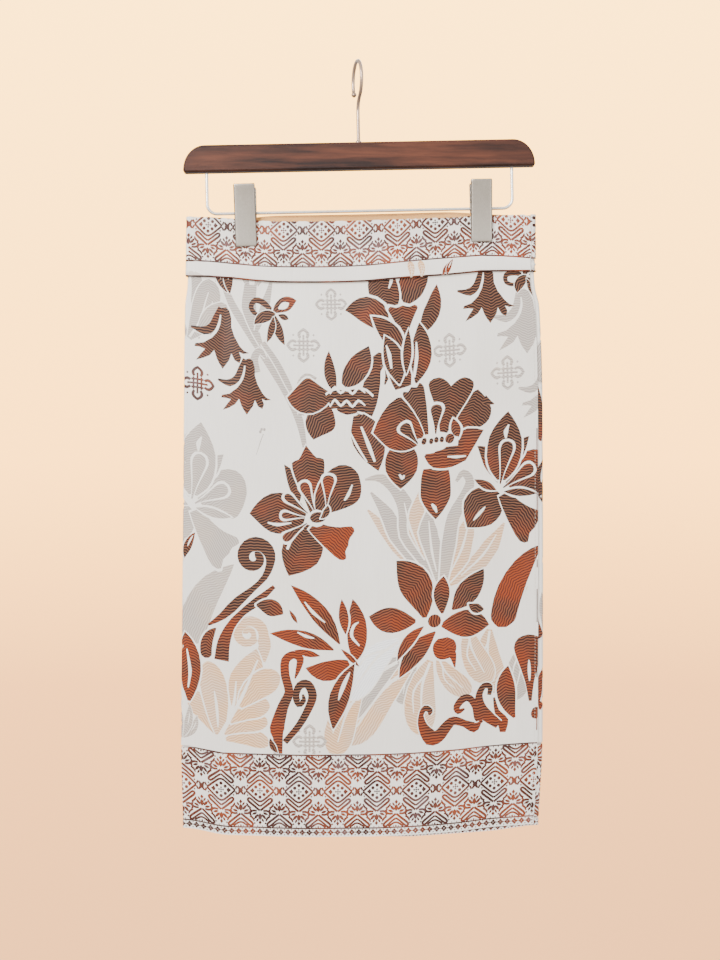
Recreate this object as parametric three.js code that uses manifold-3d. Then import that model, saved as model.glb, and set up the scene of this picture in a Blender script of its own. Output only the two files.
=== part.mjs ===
// An instant samping: one length of patterned satin wrapped into a flat tube, with a stitched tuck
// under its waist band, hung by two sprung clips from a wooden skirt hanger.
// Millimetres, +Z up, front towards -Y, +X to the right of someone facing it.
// The origin is the inside top of the hook, where a rail bears. Heights are given as the distance
// down from there.
import * as THREE from "three";
import { mergeVertices } from "three/addons/utils/BufferGeometryUtils.js";
import Module from "manifold-3d";

const wasm = await Module();
wasm.setup();

// ---- Driving dimensions ----

const GAP = 0.3; // clearance where two pieces meet
const CLOTH = 1.0; // wall of the cloth
const PITCH = CLOTH + GAP; // from one layer to the next
const UNDERLAP_LIFT = PITCH + 0.1; // how far the front stands out where the underlap lies beneath it

// The innermost loop of the wrap: its two side folds, their radius, and how far the panels swell
// between them.
const LEVELS = [
  { down: 150, left: -171.6, right: 180.0, round: 1.3, swell: 3.2 },
  { down: 188, left: -171.9, right: 180.0, round: -0.2, swell: 3.0 },
  { down: 206, left: -172.2, right: 180.2, round: 1.4, swell: 2.8 },
  { down: 228, left: -172.9, right: 181.4, round: 1.6, swell: 2.9 },
  { down: 250, left: -175.5, right: 186.2, round: 1.9, swell: 3.6 },
  { down: 345, left: -176.6, right: 189.4, round: 2.2, swell: 5.2 },
  { down: 520, left: -178.0, right: 189.9, round: 2.4, swell: 6.4 },
  { down: 692, left: -179.5, right: 189.4, round: 2.4, swell: 6.8 },
  { down: 790, left: -177.6, right: 185.0, round: 2.4, swell: 6.5 },
];

// Edges of the cloth across a panel, from the left fold (-1) to the right one (1).
const EDGES = [
  { across: -1.0, top: 157.3, backTop: 157.3, tuck: 218.8, hem: 781.7, underHem: 781.7 },
  { across: -0.75, top: 159.5, backTop: 159.4, tuck: 221.1, hem: 788.3, underHem: 785.6 },
  { across: -0.5, top: 162.2, backTop: 155.5, tuck: 225.3, hem: 789.0, underHem: 786.4 },
  { across: -0.25, top: 162.6, backTop: 154.5, tuck: 225.7, hem: 789.6, underHem: 787.0 },
  { across: 0.0, top: 161.9, backTop: 153.6, tuck: 224.8, hem: 789.3, underHem: 788.6 },
  { across: 0.25, top: 160.3, backTop: 152.7, tuck: 221.0, hem: 787.5, underHem: 789.0 },
  { across: 0.5, top: 158.5, backTop: 151.9, tuck: 217.9, hem: 784.4, underHem: 786.4 },
  { across: 0.75, top: 156.2, backTop: 154.3, tuck: 214.0, hem: 779.9, underHem: 783.9 },
  { across: 1.0, top: 155.4, backTop: 155.4, tuck: 213.9, hem: 777.6, underHem: 778.9 },
];

// Soft folds: where each runs, its half width, how far it stands out, and where it starts and ends.
const FRONT_FOLDS = [
  { x: -112, width: 16, out: 0.9, from: 232, to: 400 },
  { x: 118, width: 16, out: 1.0, from: 232, to: 440 },
  { x: -70, width: 34, out: 1.4, from: 470, to: 900 },
  { x: 8, width: 26, out: -1.1, from: 520, to: 900 },
  { x: 92, width: 32, out: 1.5, from: 430, to: 900 },
];
const BACK_FOLDS = [
  { x: -108, width: 16, out: 0.8, from: 232, to: 420 },
  { x: 126, width: 16, out: 0.9, from: 232, to: 390 },
  { x: -44, width: 36, out: -1.2, from: 440, to: 900 },
  { x: 46, width: 32, out: 1.5, from: 500, to: 900 },
];
const FOLD_FADE = 45; // height over which a fold begins and ends

const TURN_IN = 21; // height of the top edge folded inside the front
const TUCK_DEPTH = 15; // height of the tuck's hidden return
const FACING = 24; // height of the facing inside the back
const BAND_EDGE_INSET = 2.0; // the band's free edge, inside the right fold's start
const BODY_EDGE_INSET = 2.7; // the front's free edge below it
const UNDER_EDGE = 25.6; // where the underlap starts, across
const SEAM_INSET = 11; // where the underlap runs on into the back, hidden by the front
const WAIST_SPREAD = [-0.57, 0.6]; // between the clips the waist swells freely
const CLOTH_SWELL = [190, 300]; // heights between which the swell takes the whole width
const UNDERLAP_RAMP = [-0.04, 0.1]; // across, where the front climbs over the underlap
const UNDERLAP_TOP = [189, 198]; // heights over which it does so
const BAND_ROWS = 5;
const BODY_ROWS = 16;
const ROW_CROWDING = 1.4; // rows lie closer together below the tuck
const PANEL_COLUMNS = 20;

const TILT = THREE.MathUtils.degToRad(1.14); // the hanger hangs a little higher at the right

const HOOK = { wire: 3.6, bend: 20, counterBend: 16, tipDrop: 31, turn: 12.5, ball: 5.4 };
const SHANK = { insert: 14 };
const BAR = { length: 359, height: 27.5, depth: 13, top: 82, end: 22.4, corner: 2.4, edge: 1.5 };
const FRAME_WIRE = { wire: 3.2, half: 156, corner: 10, down: 151.6, insert: 10 };
const CLIP = { width: 20.8, sheet: 1.2, above: 28, below: 34, spread: 13.4, ear: 0.9, boss: 3.1 };
const CLIPS = [
  { name: "clip_left", x: -117, lean: 0.6 },
  { name: "clip_right", x: 123.8, lean: -0.4 },
];
const JAW = CLOTH / 2 + 2 * PITCH - 0.1 + GAP; // from the middle to the inside of a closed jaw
const SPRING = { outer: 2.9, length: 14.4, leg: 0.5, reach: 20 };

// ---- Materials ----

const finish = (color, roughness, metalness = 0) =>
  new THREE.MeshStandardMaterial({ color, roughness, metalness });
const satin = finish(0xdedad4, 0.42);
const patternedSatin = finish(0xb98a6c, 0.45);
const facingCloth = finish(0xdcb483, 0.7);
const walnut = finish(0x6a3f31, 0.5);
const nickel = finish(0xc9c5bf, 0.25, 1);
const brushedNickel = finish(0xb6aea2, 0.38, 1);

// ---- The form of the wrap ----

const mix = THREE.MathUtils.lerp;
const easeIn = (value, [from, to]) => THREE.MathUtils.smoothstep(value, from, to);

// The value of a table's column at a place along its key, smooth and never past its rows' values.
function valueAt(rows, key, column, place) {
  const last = rows.length - 1;
  const at = THREE.MathUtils.clamp(place, rows[0][key], rows[last][key]);
  let i = rows.findIndex((row) => row[key] >= at) - 1;
  i = THREE.MathUtils.clamp(i, 0, last - 1);
  const rise = (k) =>
    k < 0 || k >= last
      ? 0
      : (rows[k + 1][column] - rows[k][column]) / (rows[k + 1][key] - rows[k][key]);
  const slope = (k) => {
    const [before, after] = [rise(k - 1), rise(k)];
    return before * after > 0 ? (2 * before * after) / (before + after) : 0;
  };
  const span = rows[i + 1][key] - rows[i][key];
  const t = (at - rows[i][key]) / span;
  return (
    rows[i][column] * (1 + 2 * t) * (1 - t) ** 2 +
    rows[i + 1][column] * t * t * (3 - 2 * t) +
    span * t * (1 - t) * (slope(i) * (1 - t) - slope(i + 1) * t)
  );
}

// A place round the loop: 0 is the middle of the left fold, 1 to 2 the front, 2 to 3 the right
// fold, 3 to 4 the back, and 5 the left fold's middle again.
const FRONT = 1,
  RIGHT_FOLD = 2,
  BACK = 3,
  LEFT_FOLD = 4,
  ROUND = 5;

function acrossAt(place) {
  if (place < FRONT || place > LEFT_FOLD) return -1;
  if (place <= RIGHT_FOLD) return 2 * (place - FRONT) - 1;
  return place < BACK ? 1 : 1 - 2 * (place - BACK);
}

function swellAt(across, down) {
  const [from, to] = WAIST_SPREAD;
  const reach = (to - from) / 2;
  const waist = Math.max(0, 1 - ((across - (from + to) / 2) / reach) ** 2);
  const body = 1 - across * across;
  return valueAt(LEVELS, "down", "swell", down) * mix(waist, body, easeIn(down, CLOTH_SWELL));
}

function foldsAt(folds, x, down) {
  let out = 0;
  for (const fold of folds) {
    const begin = easeIn(down, [fold.from, fold.from + FOLD_FADE]);
    const end = 1 - easeIn(down, [fold.to - FOLD_FADE, fold.to]);
    out += fold.out * begin * end * Math.exp(-(((x - fold.x) / fold.width) ** 2));
  }
  return out;
}

function loopPoint(place, down, out) {
  const [left, right, round] = ["left", "right", "round"].map((column) =>
    valueAt(LEVELS, "down", column, down),
  );
  const [start, end, radius] = [left + round, right - round, round + out];
  const across = acrossAt(place);
  let x, y;
  if (place < FRONT) {
    const turn = (place * Math.PI) / 2;
    x = start - radius * Math.cos(turn);
    y = -radius * Math.sin(turn);
  } else if (place <= RIGHT_FOLD) {
    x = mix(start, end, place - FRONT);
    y = -(radius + swellAt(across, down) + foldsAt(FRONT_FOLDS, x, down));
  } else if (place < BACK) {
    const turn = (place - RIGHT_FOLD) * Math.PI;
    x = end + radius * Math.sin(turn);
    y = -radius * Math.cos(turn);
  } else if (place <= LEFT_FOLD) {
    x = mix(end, start, place - BACK);
    y = radius + swellAt(across, down) + foldsAt(BACK_FOLDS, x, down);
  } else {
    const turn = ((place - LEFT_FOLD) * Math.PI) / 2;
    x = start - radius * Math.sin(turn);
    y = radius * Math.cos(turn);
  }
  return new THREE.Vector3(x, y, -down);
}

// How far the front stands out over the underlap.
const liftAt = (across, down) =>
  UNDERLAP_LIFT * easeIn(across, UNDERLAP_RAMP) * easeIn(down, UNDERLAP_TOP);

// ---- Walls of cloth ----
// A wall's section is a run of points on its middle, each with its height, how far it stands out of
// the loop, and the direction across the wall there.

function run(from, to, out, rows, crowding = 1) {
  const way = Math.sign(to - from);
  return Array.from({ length: rows + 1 }, (_, i) => ({
    down: mix(from, to, (i / rows) ** crowding),
    out,
    acrossDown: 0,
    acrossOut: way,
  }));
}

// A half turn of the cloth from one layer to the next, at an upper (-1) or a lower (1) edge.
function halfTurn(down, fromOut, toOut, edge) {
  const radius = Math.abs(toOut - fromOut) / 2;
  const side = Math.sign(toOut - fromOut);
  return [0.25, 0.5, 0.75].map((share) => {
    const angle = share * Math.PI;
    const [ahead, sideways] = [Math.sin(angle) * edge, -Math.cos(angle) * side];
    return {
      down: down + radius * ahead,
      out: (fromOut + toOut) / 2 + radius * sideways,
      acrossDown: ahead,
      acrossOut: sideways,
    };
  });
}

// The places where a wall has its columns, between two places round the loop.
function columnsBetween(from, to) {
  const steps = [
    [0, FRONT, 3],
    [FRONT, RIGHT_FOLD, PANEL_COLUMNS],
    [RIGHT_FOLD, BACK, 6],
    [BACK, LEFT_FOLD, PANEL_COLUMNS],
    [LEFT_FOLD, ROUND, 3],
  ];
  const places = steps.flatMap(([begin, end, count]) =>
    Array.from({ length: count }, (_, i) => mix(begin, end, i / count)),
  );
  const margin = 0.25 / PANEL_COLUMNS;
  return [from, ...places.filter((p) => p > from + margin && p < to - margin), to];
}

// Sweeps a section round part of the loop as one closed wall.
function wall(from, to, section, lifted) {
  const columns = columnsBetween(from, to);
  const positions = [];
  const push = (place, row, side) => {
    const across = acrossAt(place);
    const down = row.down + (row.acrossDown * side * CLOTH) / 2;
    const lift = lifted ? liftAt(across, down) : 0;
    const out = row.out + (row.acrossOut * side * CLOTH) / 2 + lift;
    positions.push(...loopPoint(place, down, out).toArray());
  };
  let rows;
  for (const place of columns) {
    const points = section(acrossAt(place));
    rows = points.length;
    for (const row of points) {
      push(place, row, 1);
      push(place, row, -1);
    }
  }
  const at = (column, row, side) => 2 * (column * rows + row) + side;
  const index = [];
  const quad = (a, b, c, d) => index.push(a, b, c, a, c, d);
  const [lastColumn, lastRow] = [columns.length - 1, rows - 1];
  for (let c = 0; c < lastColumn; c++) {
    for (let r = 0; r < lastRow; r++) {
      quad(at(c, r, 0), at(c, r + 1, 0), at(c + 1, r + 1, 0), at(c + 1, r, 0));
      quad(at(c, r, 1), at(c + 1, r, 1), at(c + 1, r + 1, 1), at(c, r + 1, 1));
    }
    quad(at(c, 0, 0), at(c + 1, 0, 0), at(c + 1, 0, 1), at(c, 0, 1));
    quad(at(c, lastRow, 0), at(c, lastRow, 1), at(c + 1, lastRow, 1), at(c + 1, lastRow, 0));
  }
  for (let r = 0; r < lastRow; r++) {
    quad(at(0, r, 0), at(0, r, 1), at(0, r + 1, 1), at(0, r + 1, 0));
    const c = lastColumn;
    quad(at(c, r, 0), at(c, r + 1, 0), at(c, r + 1, 1), at(c, r, 1));
  }
  const geometry = new THREE.BufferGeometry();
  geometry.setAttribute("position", new THREE.Float32BufferAttribute(positions, 3));
  geometry.setIndex(index);
  return geometry;
}

const edgeAt = (across, column) => valueAt(EDGES, "across", column, across);
const BAND = 2 * PITCH; // the waist band's place out of the loop
const TURN_END = CLOTH / 2 + PITCH / 2; // from an edge to the centre of its turn

// The tuck below the band: round its lower edge and up behind the band.
function tuck(across) {
  const edge = edgeAt(across, "tuck") - TURN_END;
  return [
    ...halfTurn(edge, BAND, PITCH, 1),
    ...run(edge, edge + TURN_END - TUCK_DEPTH, PITCH, 2),
  ];
}

function frontBandSection(across) {
  const top = edgeAt(across, "top") + TURN_END;
  return [
    ...run(top - TURN_END + TURN_IN, top, PITCH, 2),
    ...halfTurn(top, PITCH, BAND, -1),
    ...run(top, edgeAt(across, "tuck") - TURN_END, BAND, BAND_ROWS),
    ...tuck(across),
  ];
}

function backBandSection(across) {
  const edge = edgeAt(across, "tuck") - TURN_END;
  return [...run(edgeAt(across, "backTop"), edge, BAND, BAND_ROWS), ...tuck(across)];
}

function facingSection(across) {
  const top = edgeAt(across, "backTop") + GAP;
  return run(top, top + FACING, PITCH, 2);
}

const bodySection = (hem) => (across) =>
  run(edgeAt(across, "tuck") - TUCK_DEPTH, edgeAt(across, hem), 0, BODY_ROWS, ROW_CROWDING);

const WIDTH = LEVELS[0].right - LEVELS[0].left;
const FOLD_PARTING = 0.06; // share of the left fold's quarter turn left open between front and back
const bandEdge = RIGHT_FOLD - BAND_EDGE_INSET / WIDTH;
const bodyEdge = RIGHT_FOLD - BODY_EDGE_INSET / WIDTH;
const underSeam = RIGHT_FOLD - SEAM_INSET / WIDTH;
const underEdge = FRONT + (UNDER_EDGE - LEVELS[0].left) / WIDTH;

const clothPieces = [
  ["waist_front", wall(FOLD_PARTING, bandEdge, frontBandSection, true), patternedSatin],
  [
    "waist_back",
    wall(bandEdge + GAP / WIDTH, ROUND - FOLD_PARTING, backBandSection, false),
    patternedSatin,
  ],
  ["back_facing", wall(BACK, LEFT_FOLD, facingSection, false), facingCloth],
  ["front_body", wall(FOLD_PARTING, bodyEdge, bodySection("hem"), true), satin],
  ["under_wrap", wall(underEdge, underSeam, bodySection("underHem"), false), satin],
  [
    "back_body",
    wall(underSeam + GAP / WIDTH, ROUND - FOLD_PARTING, bodySection("underHem"), false),
    satin,
  ],
];

// ---- The hanger ----

// A route whose points are its own steps, so that a tube turns just where they say.
class Route extends THREE.Curve {
  constructor(points) {
    super();
    this.points = points;
  }
  getUtoTmapping(u) {
    return u;
  }
  getPoint(t, target = new THREE.Vector3()) {
    const place = THREE.MathUtils.clamp(t, 0, 1) * (this.points.length - 1);
    const i = Math.min(Math.floor(place), this.points.length - 2);
    return target.lerpVectors(this.points[i], this.points[i + 1], place - i);
  }
}

function rod(points, diameter, sides) {
  const section = new THREE.Shape(
    Array.from({ length: sides }, (_, i) => {
      const angle = (2 * Math.PI * i) / sides;
      return new THREE.Vector2(Math.cos(angle), Math.sin(angle)).multiplyScalar(diameter / 2);
    }),
  );
  return new THREE.ExtrudeGeometry(section, {
    steps: points.length - 1,
    extrudePath: new Route(points),
  });
}

// Points on an arc in the plane of two directions, from one angle to another in degrees.
function arc(centre, radius, from, to, steps, right, up) {
  return Array.from({ length: steps + 1 }, (_, i) => {
    const angle = THREE.MathUtils.degToRad(mix(from, to, i / steps));
    return centre
      .clone()
      .addScaledVector(right, radius * Math.cos(angle))
      .addScaledVector(up, radius * Math.sin(angle));
  });
}

function solidOf(geometry) {
  const bare = geometry.clone();
  bare.deleteAttribute("normal");
  bare.deleteAttribute("uv");
  const merged = mergeVertices(bare, 1e-4);
  return new wasm.Manifold(
    new wasm.Mesh({
      numProp: 3,
      vertProperties: merged.attributes.position.array,
      triVerts: new Uint32Array(merged.index.array),
    }),
  );
}

function geometryOf(solid) {
  const mesh = solid.getMesh();
  const geometry = new THREE.BufferGeometry();
  geometry.setAttribute("position", new THREE.BufferAttribute(mesh.vertProperties, 3));
  geometry.setIndex(new THREE.BufferAttribute(mesh.triVerts, 1));
  return geometry;
}

const joined = (...parts) => geometryOf(parts.map(solidOf).reduce((a, b) => a.add(b)));
const cut = (body, ...tools) =>
  geometryOf(tools.map(solidOf).reduce((a, b) => a.subtract(b), solidOf(body)));

function upright(radius, length, sides = 16) {
  return new THREE.CylinderGeometry(radius, radius, length, sides).rotateX(Math.PI / 2);
}

function hookGeometry() {
  const turn = THREE.MathUtils.degToRad(HOOK.turn);
  const forward = new THREE.Vector3(Math.sin(turn), -Math.cos(turn), 0);
  const up = new THREE.Vector3(0, 0, 1);
  const centre = new THREE.Vector3(0, 0, HOOK.wire / 2 - HOOK.bend);
  const between = HOOK.bend + HOOK.counterBend;
  const junction = THREE.MathUtils.radToDeg(Math.acos(HOOK.counterBend / between));
  const counter = centre
    .clone()
    .addScaledVector(forward, HOOK.counterBend)
    .addScaledVector(up, -between * Math.sin(THREE.MathUtils.degToRad(junction)));
  const shankEnd = new THREE.Vector3(0, 0, -BAR.top - SHANK.insert);
  const points = [
    ...arc(centre, HOOK.bend, 180 + HOOK.tipDrop, -junction, 20, forward, up),
    ...arc(counter, HOOK.counterBend, 180 - junction, 180, 6, forward, up).slice(1),
    shankEnd,
  ];
  const ball = new THREE.SphereGeometry(HOOK.ball / 2, 14, 9);
  ball.translate(...points[0].toArray());
  return joined(rod(points, HOOK.wire, 10), ball);
}

function barGeometry() {
  const half = BAR.length / 2;
  const outline = new THREE.Shape();
  outline.moveTo(-half + BAR.corner, 0);
  outline.absarc(half - BAR.corner, BAR.corner, BAR.corner, -Math.PI / 2, 0);
  const rise = BAR.height - BAR.corner;
  outline.absellipse(half - BAR.end, BAR.corner, BAR.end, rise, 0, Math.PI / 2);
  outline.absellipse(-half + BAR.end, BAR.corner, BAR.end, rise, Math.PI / 2, Math.PI);
  outline.absarc(-half + BAR.corner, BAR.corner, BAR.corner, Math.PI, 1.5 * Math.PI);
  const body = new THREE.ExtrudeGeometry(outline, {
    depth: BAR.depth - 2 * BAR.edge,
    bevelThickness: BAR.edge,
    bevelSize: BAR.edge,
    bevelOffset: -BAR.edge,
    bevelSegments: 2,
    curveSegments: 7,
  });
  body.rotateX(Math.PI / 2);
  body.translate(0, BAR.depth / 2 - BAR.edge, -BAR.top - BAR.height);
  const reach = 2; // a hole's cutter stands this far out of the wood
  const shankHole = upright(HOOK.wire / 2 + GAP, SHANK.insert + GAP + reach);
  shankHole.translate(0, 0, -BAR.top + (reach - SHANK.insert - GAP) / 2);
  const wireHoles = [-1, 1].map((side) => {
    const depth = FRAME_WIRE.insert + GAP;
    const hole = upright(FRAME_WIRE.wire / 2 + GAP, depth + reach);
    return hole.translate(
      side * FRAME_WIRE.half,
      0,
      -BAR.top - BAR.height + (depth - reach) / 2,
    );
  });
  return cut(body, shankHole, ...wireHoles);
}

function frameWireGeometry() {
  const { half, corner, down, insert, wire } = FRAME_WIRE;
  const [right, up] = [new THREE.Vector3(1, 0, 0), new THREE.Vector3(0, 0, 1)];
  const legTop = -BAR.top - BAR.height + insert;
  const bend = (side, from, to) =>
    arc(new THREE.Vector3(side * (half - corner), 0, corner - down), corner, from, to, 5, right, up);
  const points = [
    new THREE.Vector3(-half, 0, legTop),
    ...bend(-1, 180, 270),
    ...bend(1, 270, 360),
    new THREE.Vector3(half, 0, legTop),
  ];
  return rod(points, wire, 10);
}

// Turns a shape drawn in (y, z) and extruded along its depth into one that is extruded along X.
function alongX(shape, depth, curveSegments) {
  const geometry = new THREE.ExtrudeGeometry(shape, { depth, bevelEnabled: false, curveSegments });
  geometry.applyMatrix4(
    new THREE.Matrix4().makeBasis(
      new THREE.Vector3(0, 1, 0),
      new THREE.Vector3(0, 0, 1),
      new THREE.Vector3(1, 0, 0),
    ),
  );
  return geometry.translate(-depth / 2, 0, 0);
}

const CLIP_HEIGHT = CLIP.above + CLIP.below;
const clipSlope = (CLIP.spread - JAW) / CLIP_HEIGHT;
const plateInside = (z) => -JAW - (z + CLIP.below) * clipSlope; // the front plate's inner face

// One half of a clip, in front of the wire: a sloping plate with two ears that turn on the wire.
function clipHalf(earPlace) {
  const corner = 0.8;
  const [halfWidth, height] = [CLIP.width / 2, Math.hypot(CLIP_HEIGHT, CLIP.spread - JAW)];
  const face = new THREE.Shape();
  face.moveTo(-halfWidth, 0);
  face.lineTo(halfWidth, 0);
  face.absarc(halfWidth - corner, height - corner, corner, 0, Math.PI / 2);
  face.absarc(-halfWidth + corner, height - corner, corner, Math.PI / 2, Math.PI);
  const plate = new THREE.ExtrudeGeometry(face, {
    depth: CLIP.sheet,
    bevelEnabled: false,
    curveSegments: 3,
  });
  plate.rotateX(Math.PI / 2 + Math.atan(clipSlope));
  plate.translate(0, -JAW, -CLIP.below);
  const intoPlate = CLIP.sheet / 2;
  const [earTop, earFoot] = [12, -2.5];
  const ear = new THREE.Shape();
  ear.moveTo(plateInside(earTop) - intoPlate, earTop);
  ear.lineTo(plateInside(earFoot) - intoPlate, earFoot);
  ear.absarc(0, 0, CLIP.boss, -0.6 * Math.PI, 0.42 * Math.PI);
  ear.closePath();
  const bore = new THREE.Path();
  bore.absarc(0, 0, FRAME_WIRE.wire / 2 + GAP + 0.05, 0, 2 * Math.PI, true);
  ear.holes.push(bore);
  const ears = [-1, 1].map((side) => alongX(ear, CLIP.ear, 8).translate(side * earPlace, 0, 0));
  return joined(plate, ...ears);
}

// A torsion spring round the wire, with a leg pressing on each plate.
function springGeometry() {
  const ring = new THREE.Shape();
  ring.absarc(0, 0, SPRING.outer, 0, 2 * Math.PI);
  const bore = new THREE.Path();
  bore.absarc(0, 0, FRAME_WIRE.wire / 2 + GAP, 0, 2 * Math.PI, true);
  ring.holes.push(bore);
  const coil = alongX(ring, SPRING.length, 8);
  const legs = [-1, 1].map((side) => {
    const x = side * (SPRING.length / 2 - SPRING.leg - 0.4);
    const inset = SPRING.leg + GAP;
    const foot = new THREE.Vector3(x, (side * SPRING.outer) / 1.3, 1);
    const head = new THREE.Vector3(x, -side * (plateInside(SPRING.reach) + inset), SPRING.reach);
    return rod([foot, head], 2 * SPRING.leg, 8);
  });
  return joined(coil, ...legs);
}

// ---- The scene graph ----

function named(name, geometry, material) {
  const mesh = new THREE.Mesh(geometry, material);
  mesh.name = name;
  return mesh;
}

const part = new THREE.Group();
for (const [name, geometry, material] of clothPieces) part.add(named(name, geometry, material));

const hanger = new THREE.Group();
hanger.rotation.y = -TILT;
hanger.add(
  named("hook", hookGeometry(), nickel),
  named("hanger_bar", barGeometry(), walnut),
  named("hanger_wire", frameWireGeometry(), nickel),
);

const [outerEar, innerEar] = [CLIP.width / 2 - CLIP.ear / 2, CLIP.width / 2 - CLIP.ear * 2];
for (const { name, x, lean } of CLIPS) {
  const clip = new THREE.Group();
  clip.position.set(x, 0, -FRAME_WIRE.down);
  clip.rotation.y = -THREE.MathUtils.degToRad(lean);
  const back = named(`${name}_back`, clipHalf(innerEar), brushedNickel);
  back.rotation.z = Math.PI;
  clip.add(
    named(`${name}_front`, clipHalf(outerEar), brushedNickel),
    back,
    named(`${name}_spring`, springGeometry(), nickel),
  );
  hanger.add(clip);
}
part.add(hanger);

export default part;
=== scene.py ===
"""An instant samping on its skirt hanger.

One length of patterned satin is wrapped into a flat tube, tucked under a waist band and clipped to a
wooden hanger. The cloth's threads are drawn on a flat chart of the cloth, in millimetres, and the
chart is then laid on the form of the wrap, so every flower, stripe and border follows the folds.
"""

from __future__ import annotations

import logging
import math
from dataclasses import dataclass, field, replace
from enum import Enum
from functools import partial
from typing import Any, Callable, Iterable, Sequence, Union

import bpy
import numpy as np
from mathutils import Matrix, Vector
from mathutils.geometry import delaunay_2d_cdt

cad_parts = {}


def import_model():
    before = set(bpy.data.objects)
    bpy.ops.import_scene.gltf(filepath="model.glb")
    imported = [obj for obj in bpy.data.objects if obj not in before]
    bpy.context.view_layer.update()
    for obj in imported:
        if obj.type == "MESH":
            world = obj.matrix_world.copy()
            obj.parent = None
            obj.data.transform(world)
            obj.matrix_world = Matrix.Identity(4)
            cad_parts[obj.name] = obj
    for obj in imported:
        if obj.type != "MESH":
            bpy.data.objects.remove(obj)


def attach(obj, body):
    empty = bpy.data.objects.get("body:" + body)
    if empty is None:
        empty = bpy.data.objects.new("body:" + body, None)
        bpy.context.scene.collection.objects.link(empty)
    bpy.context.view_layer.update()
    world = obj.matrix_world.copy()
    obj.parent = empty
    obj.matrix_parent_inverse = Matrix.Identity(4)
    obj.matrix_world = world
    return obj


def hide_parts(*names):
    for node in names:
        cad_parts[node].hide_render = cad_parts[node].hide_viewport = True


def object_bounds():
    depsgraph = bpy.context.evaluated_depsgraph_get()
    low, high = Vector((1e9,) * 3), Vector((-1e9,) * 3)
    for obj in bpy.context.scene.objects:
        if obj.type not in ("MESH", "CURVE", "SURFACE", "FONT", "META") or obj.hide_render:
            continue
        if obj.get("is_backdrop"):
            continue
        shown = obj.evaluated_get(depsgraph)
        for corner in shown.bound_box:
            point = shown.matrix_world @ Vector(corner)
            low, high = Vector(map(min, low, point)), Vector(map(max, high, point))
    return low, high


LOG = logging.getLogger("samping")
MM = 0.001  # the charts and tables are in millimetres, the scene in metres

Points = np.ndarray
Colour = tuple[float, float, float]


# ---- The form of the wrap ----


class Table:
    """Rows of named columns along a key, read smoothly and never past its rows' values."""

    def __init__(self, names: str, rows: Sequence[Sequence[float]]) -> None:
        """Keeps the rows as columns.

        Args:
            names: the columns' names, the key's first.
            rows: one row of numbers for each place along the key.
        """
        values = np.array(rows, float)
        self.key = values[:, 0]
        self.columns = dict(zip(names.split(), values.T))

    def read(self, column: str, place: Points) -> Points:
        """Reads a column.

        Args:
            column: the column's name.
            place: places along the key.

        Returns:
            The column's value at each place.
        """
        keys, values = self.key, self.columns[column]
        at = np.clip(place, keys[0], keys[-1])
        i = np.clip(np.searchsorted(keys, at) - 1, 0, len(keys) - 2)
        rise = np.diff(values) / np.diff(keys)
        before, after = np.append(0.0, rise), np.append(rise, 0.0)
        same_way = before * after > 0
        slope = np.where(same_way, 2 * before * after / np.where(same_way, before + after, 1), 0)
        span = keys[i + 1] - keys[i]
        t = (at - keys[i]) / span
        lean = slope[i] * (1 - t) - slope[i + 1] * t
        ends = values[i] * (1 + 2 * t) * (1 - t) ** 2 + values[i + 1] * t * t * (3 - 2 * t)
        return ends + span * t * (1 - t) * lean


def ease(value: Points, start: float, end: float) -> Points:
    """Rises smoothly from 0 at start to 1 at end."""
    t = np.clip((np.asarray(value, float) - start) / (end - start), 0, 1)
    return t * t * (3 - 2 * t)


def mix(a: Any, b: Any, share: Any) -> Any:
    """Goes from a to b by a share."""
    return a + (b - a) * share


LEVELS = Table(
    "down left right round swell",
    [
        (150, -171.6, 180.0, 1.3, 3.2),
        (188, -171.9, 180.0, -0.2, 3.0),
        (206, -172.2, 180.2, 1.4, 2.8),
        (228, -172.9, 181.4, 1.6, 2.9),
        (250, -175.5, 186.2, 1.9, 3.6),
        (345, -176.6, 189.4, 2.2, 5.2),
        (520, -178.0, 189.9, 2.4, 6.4),
        (692, -179.5, 189.4, 2.4, 6.8),
        (790, -177.6, 185.0, 2.4, 6.5),
    ],
)
EDGES = Table(
    "across top backTop line tuck hem underHem",
    [
        (-1.0, 157.3, 157.3, 202.3, 218.8, 781.7, 781.7),
        (-0.75, 159.5, 159.4, 205.7, 221.1, 788.3, 785.6),
        (-0.5, 162.2, 155.5, 209.1, 225.3, 789.0, 786.4),
        (-0.25, 162.6, 154.5, 209.5, 225.7, 789.6, 787.0),
        (0.0, 161.9, 153.6, 208.3, 224.8, 789.3, 788.6),
        (0.25, 160.3, 152.7, 204.2, 221.0, 787.5, 789.0),
        (0.5, 158.5, 151.9, 200.2, 217.9, 784.4, 786.4),
        (0.75, 156.2, 154.3, 197.3, 214.0, 779.9, 783.9),
        (1.0, 155.4, 155.4, 199.9, 213.9, 777.6, 778.9),
    ],
)


@dataclass(frozen=True)
class Fold:
    """A soft upright fold: where it runs, its half width, how far it stands out, and its ends."""

    x: float
    width: float
    out: float
    start: float
    end: float


@dataclass(frozen=True)
class Crease:
    """A soft trough (below 0) or ridge along a slanting line, from one end to the other."""

    x: float
    down: float
    to_x: float
    to_down: float
    width: float
    out: float


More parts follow.
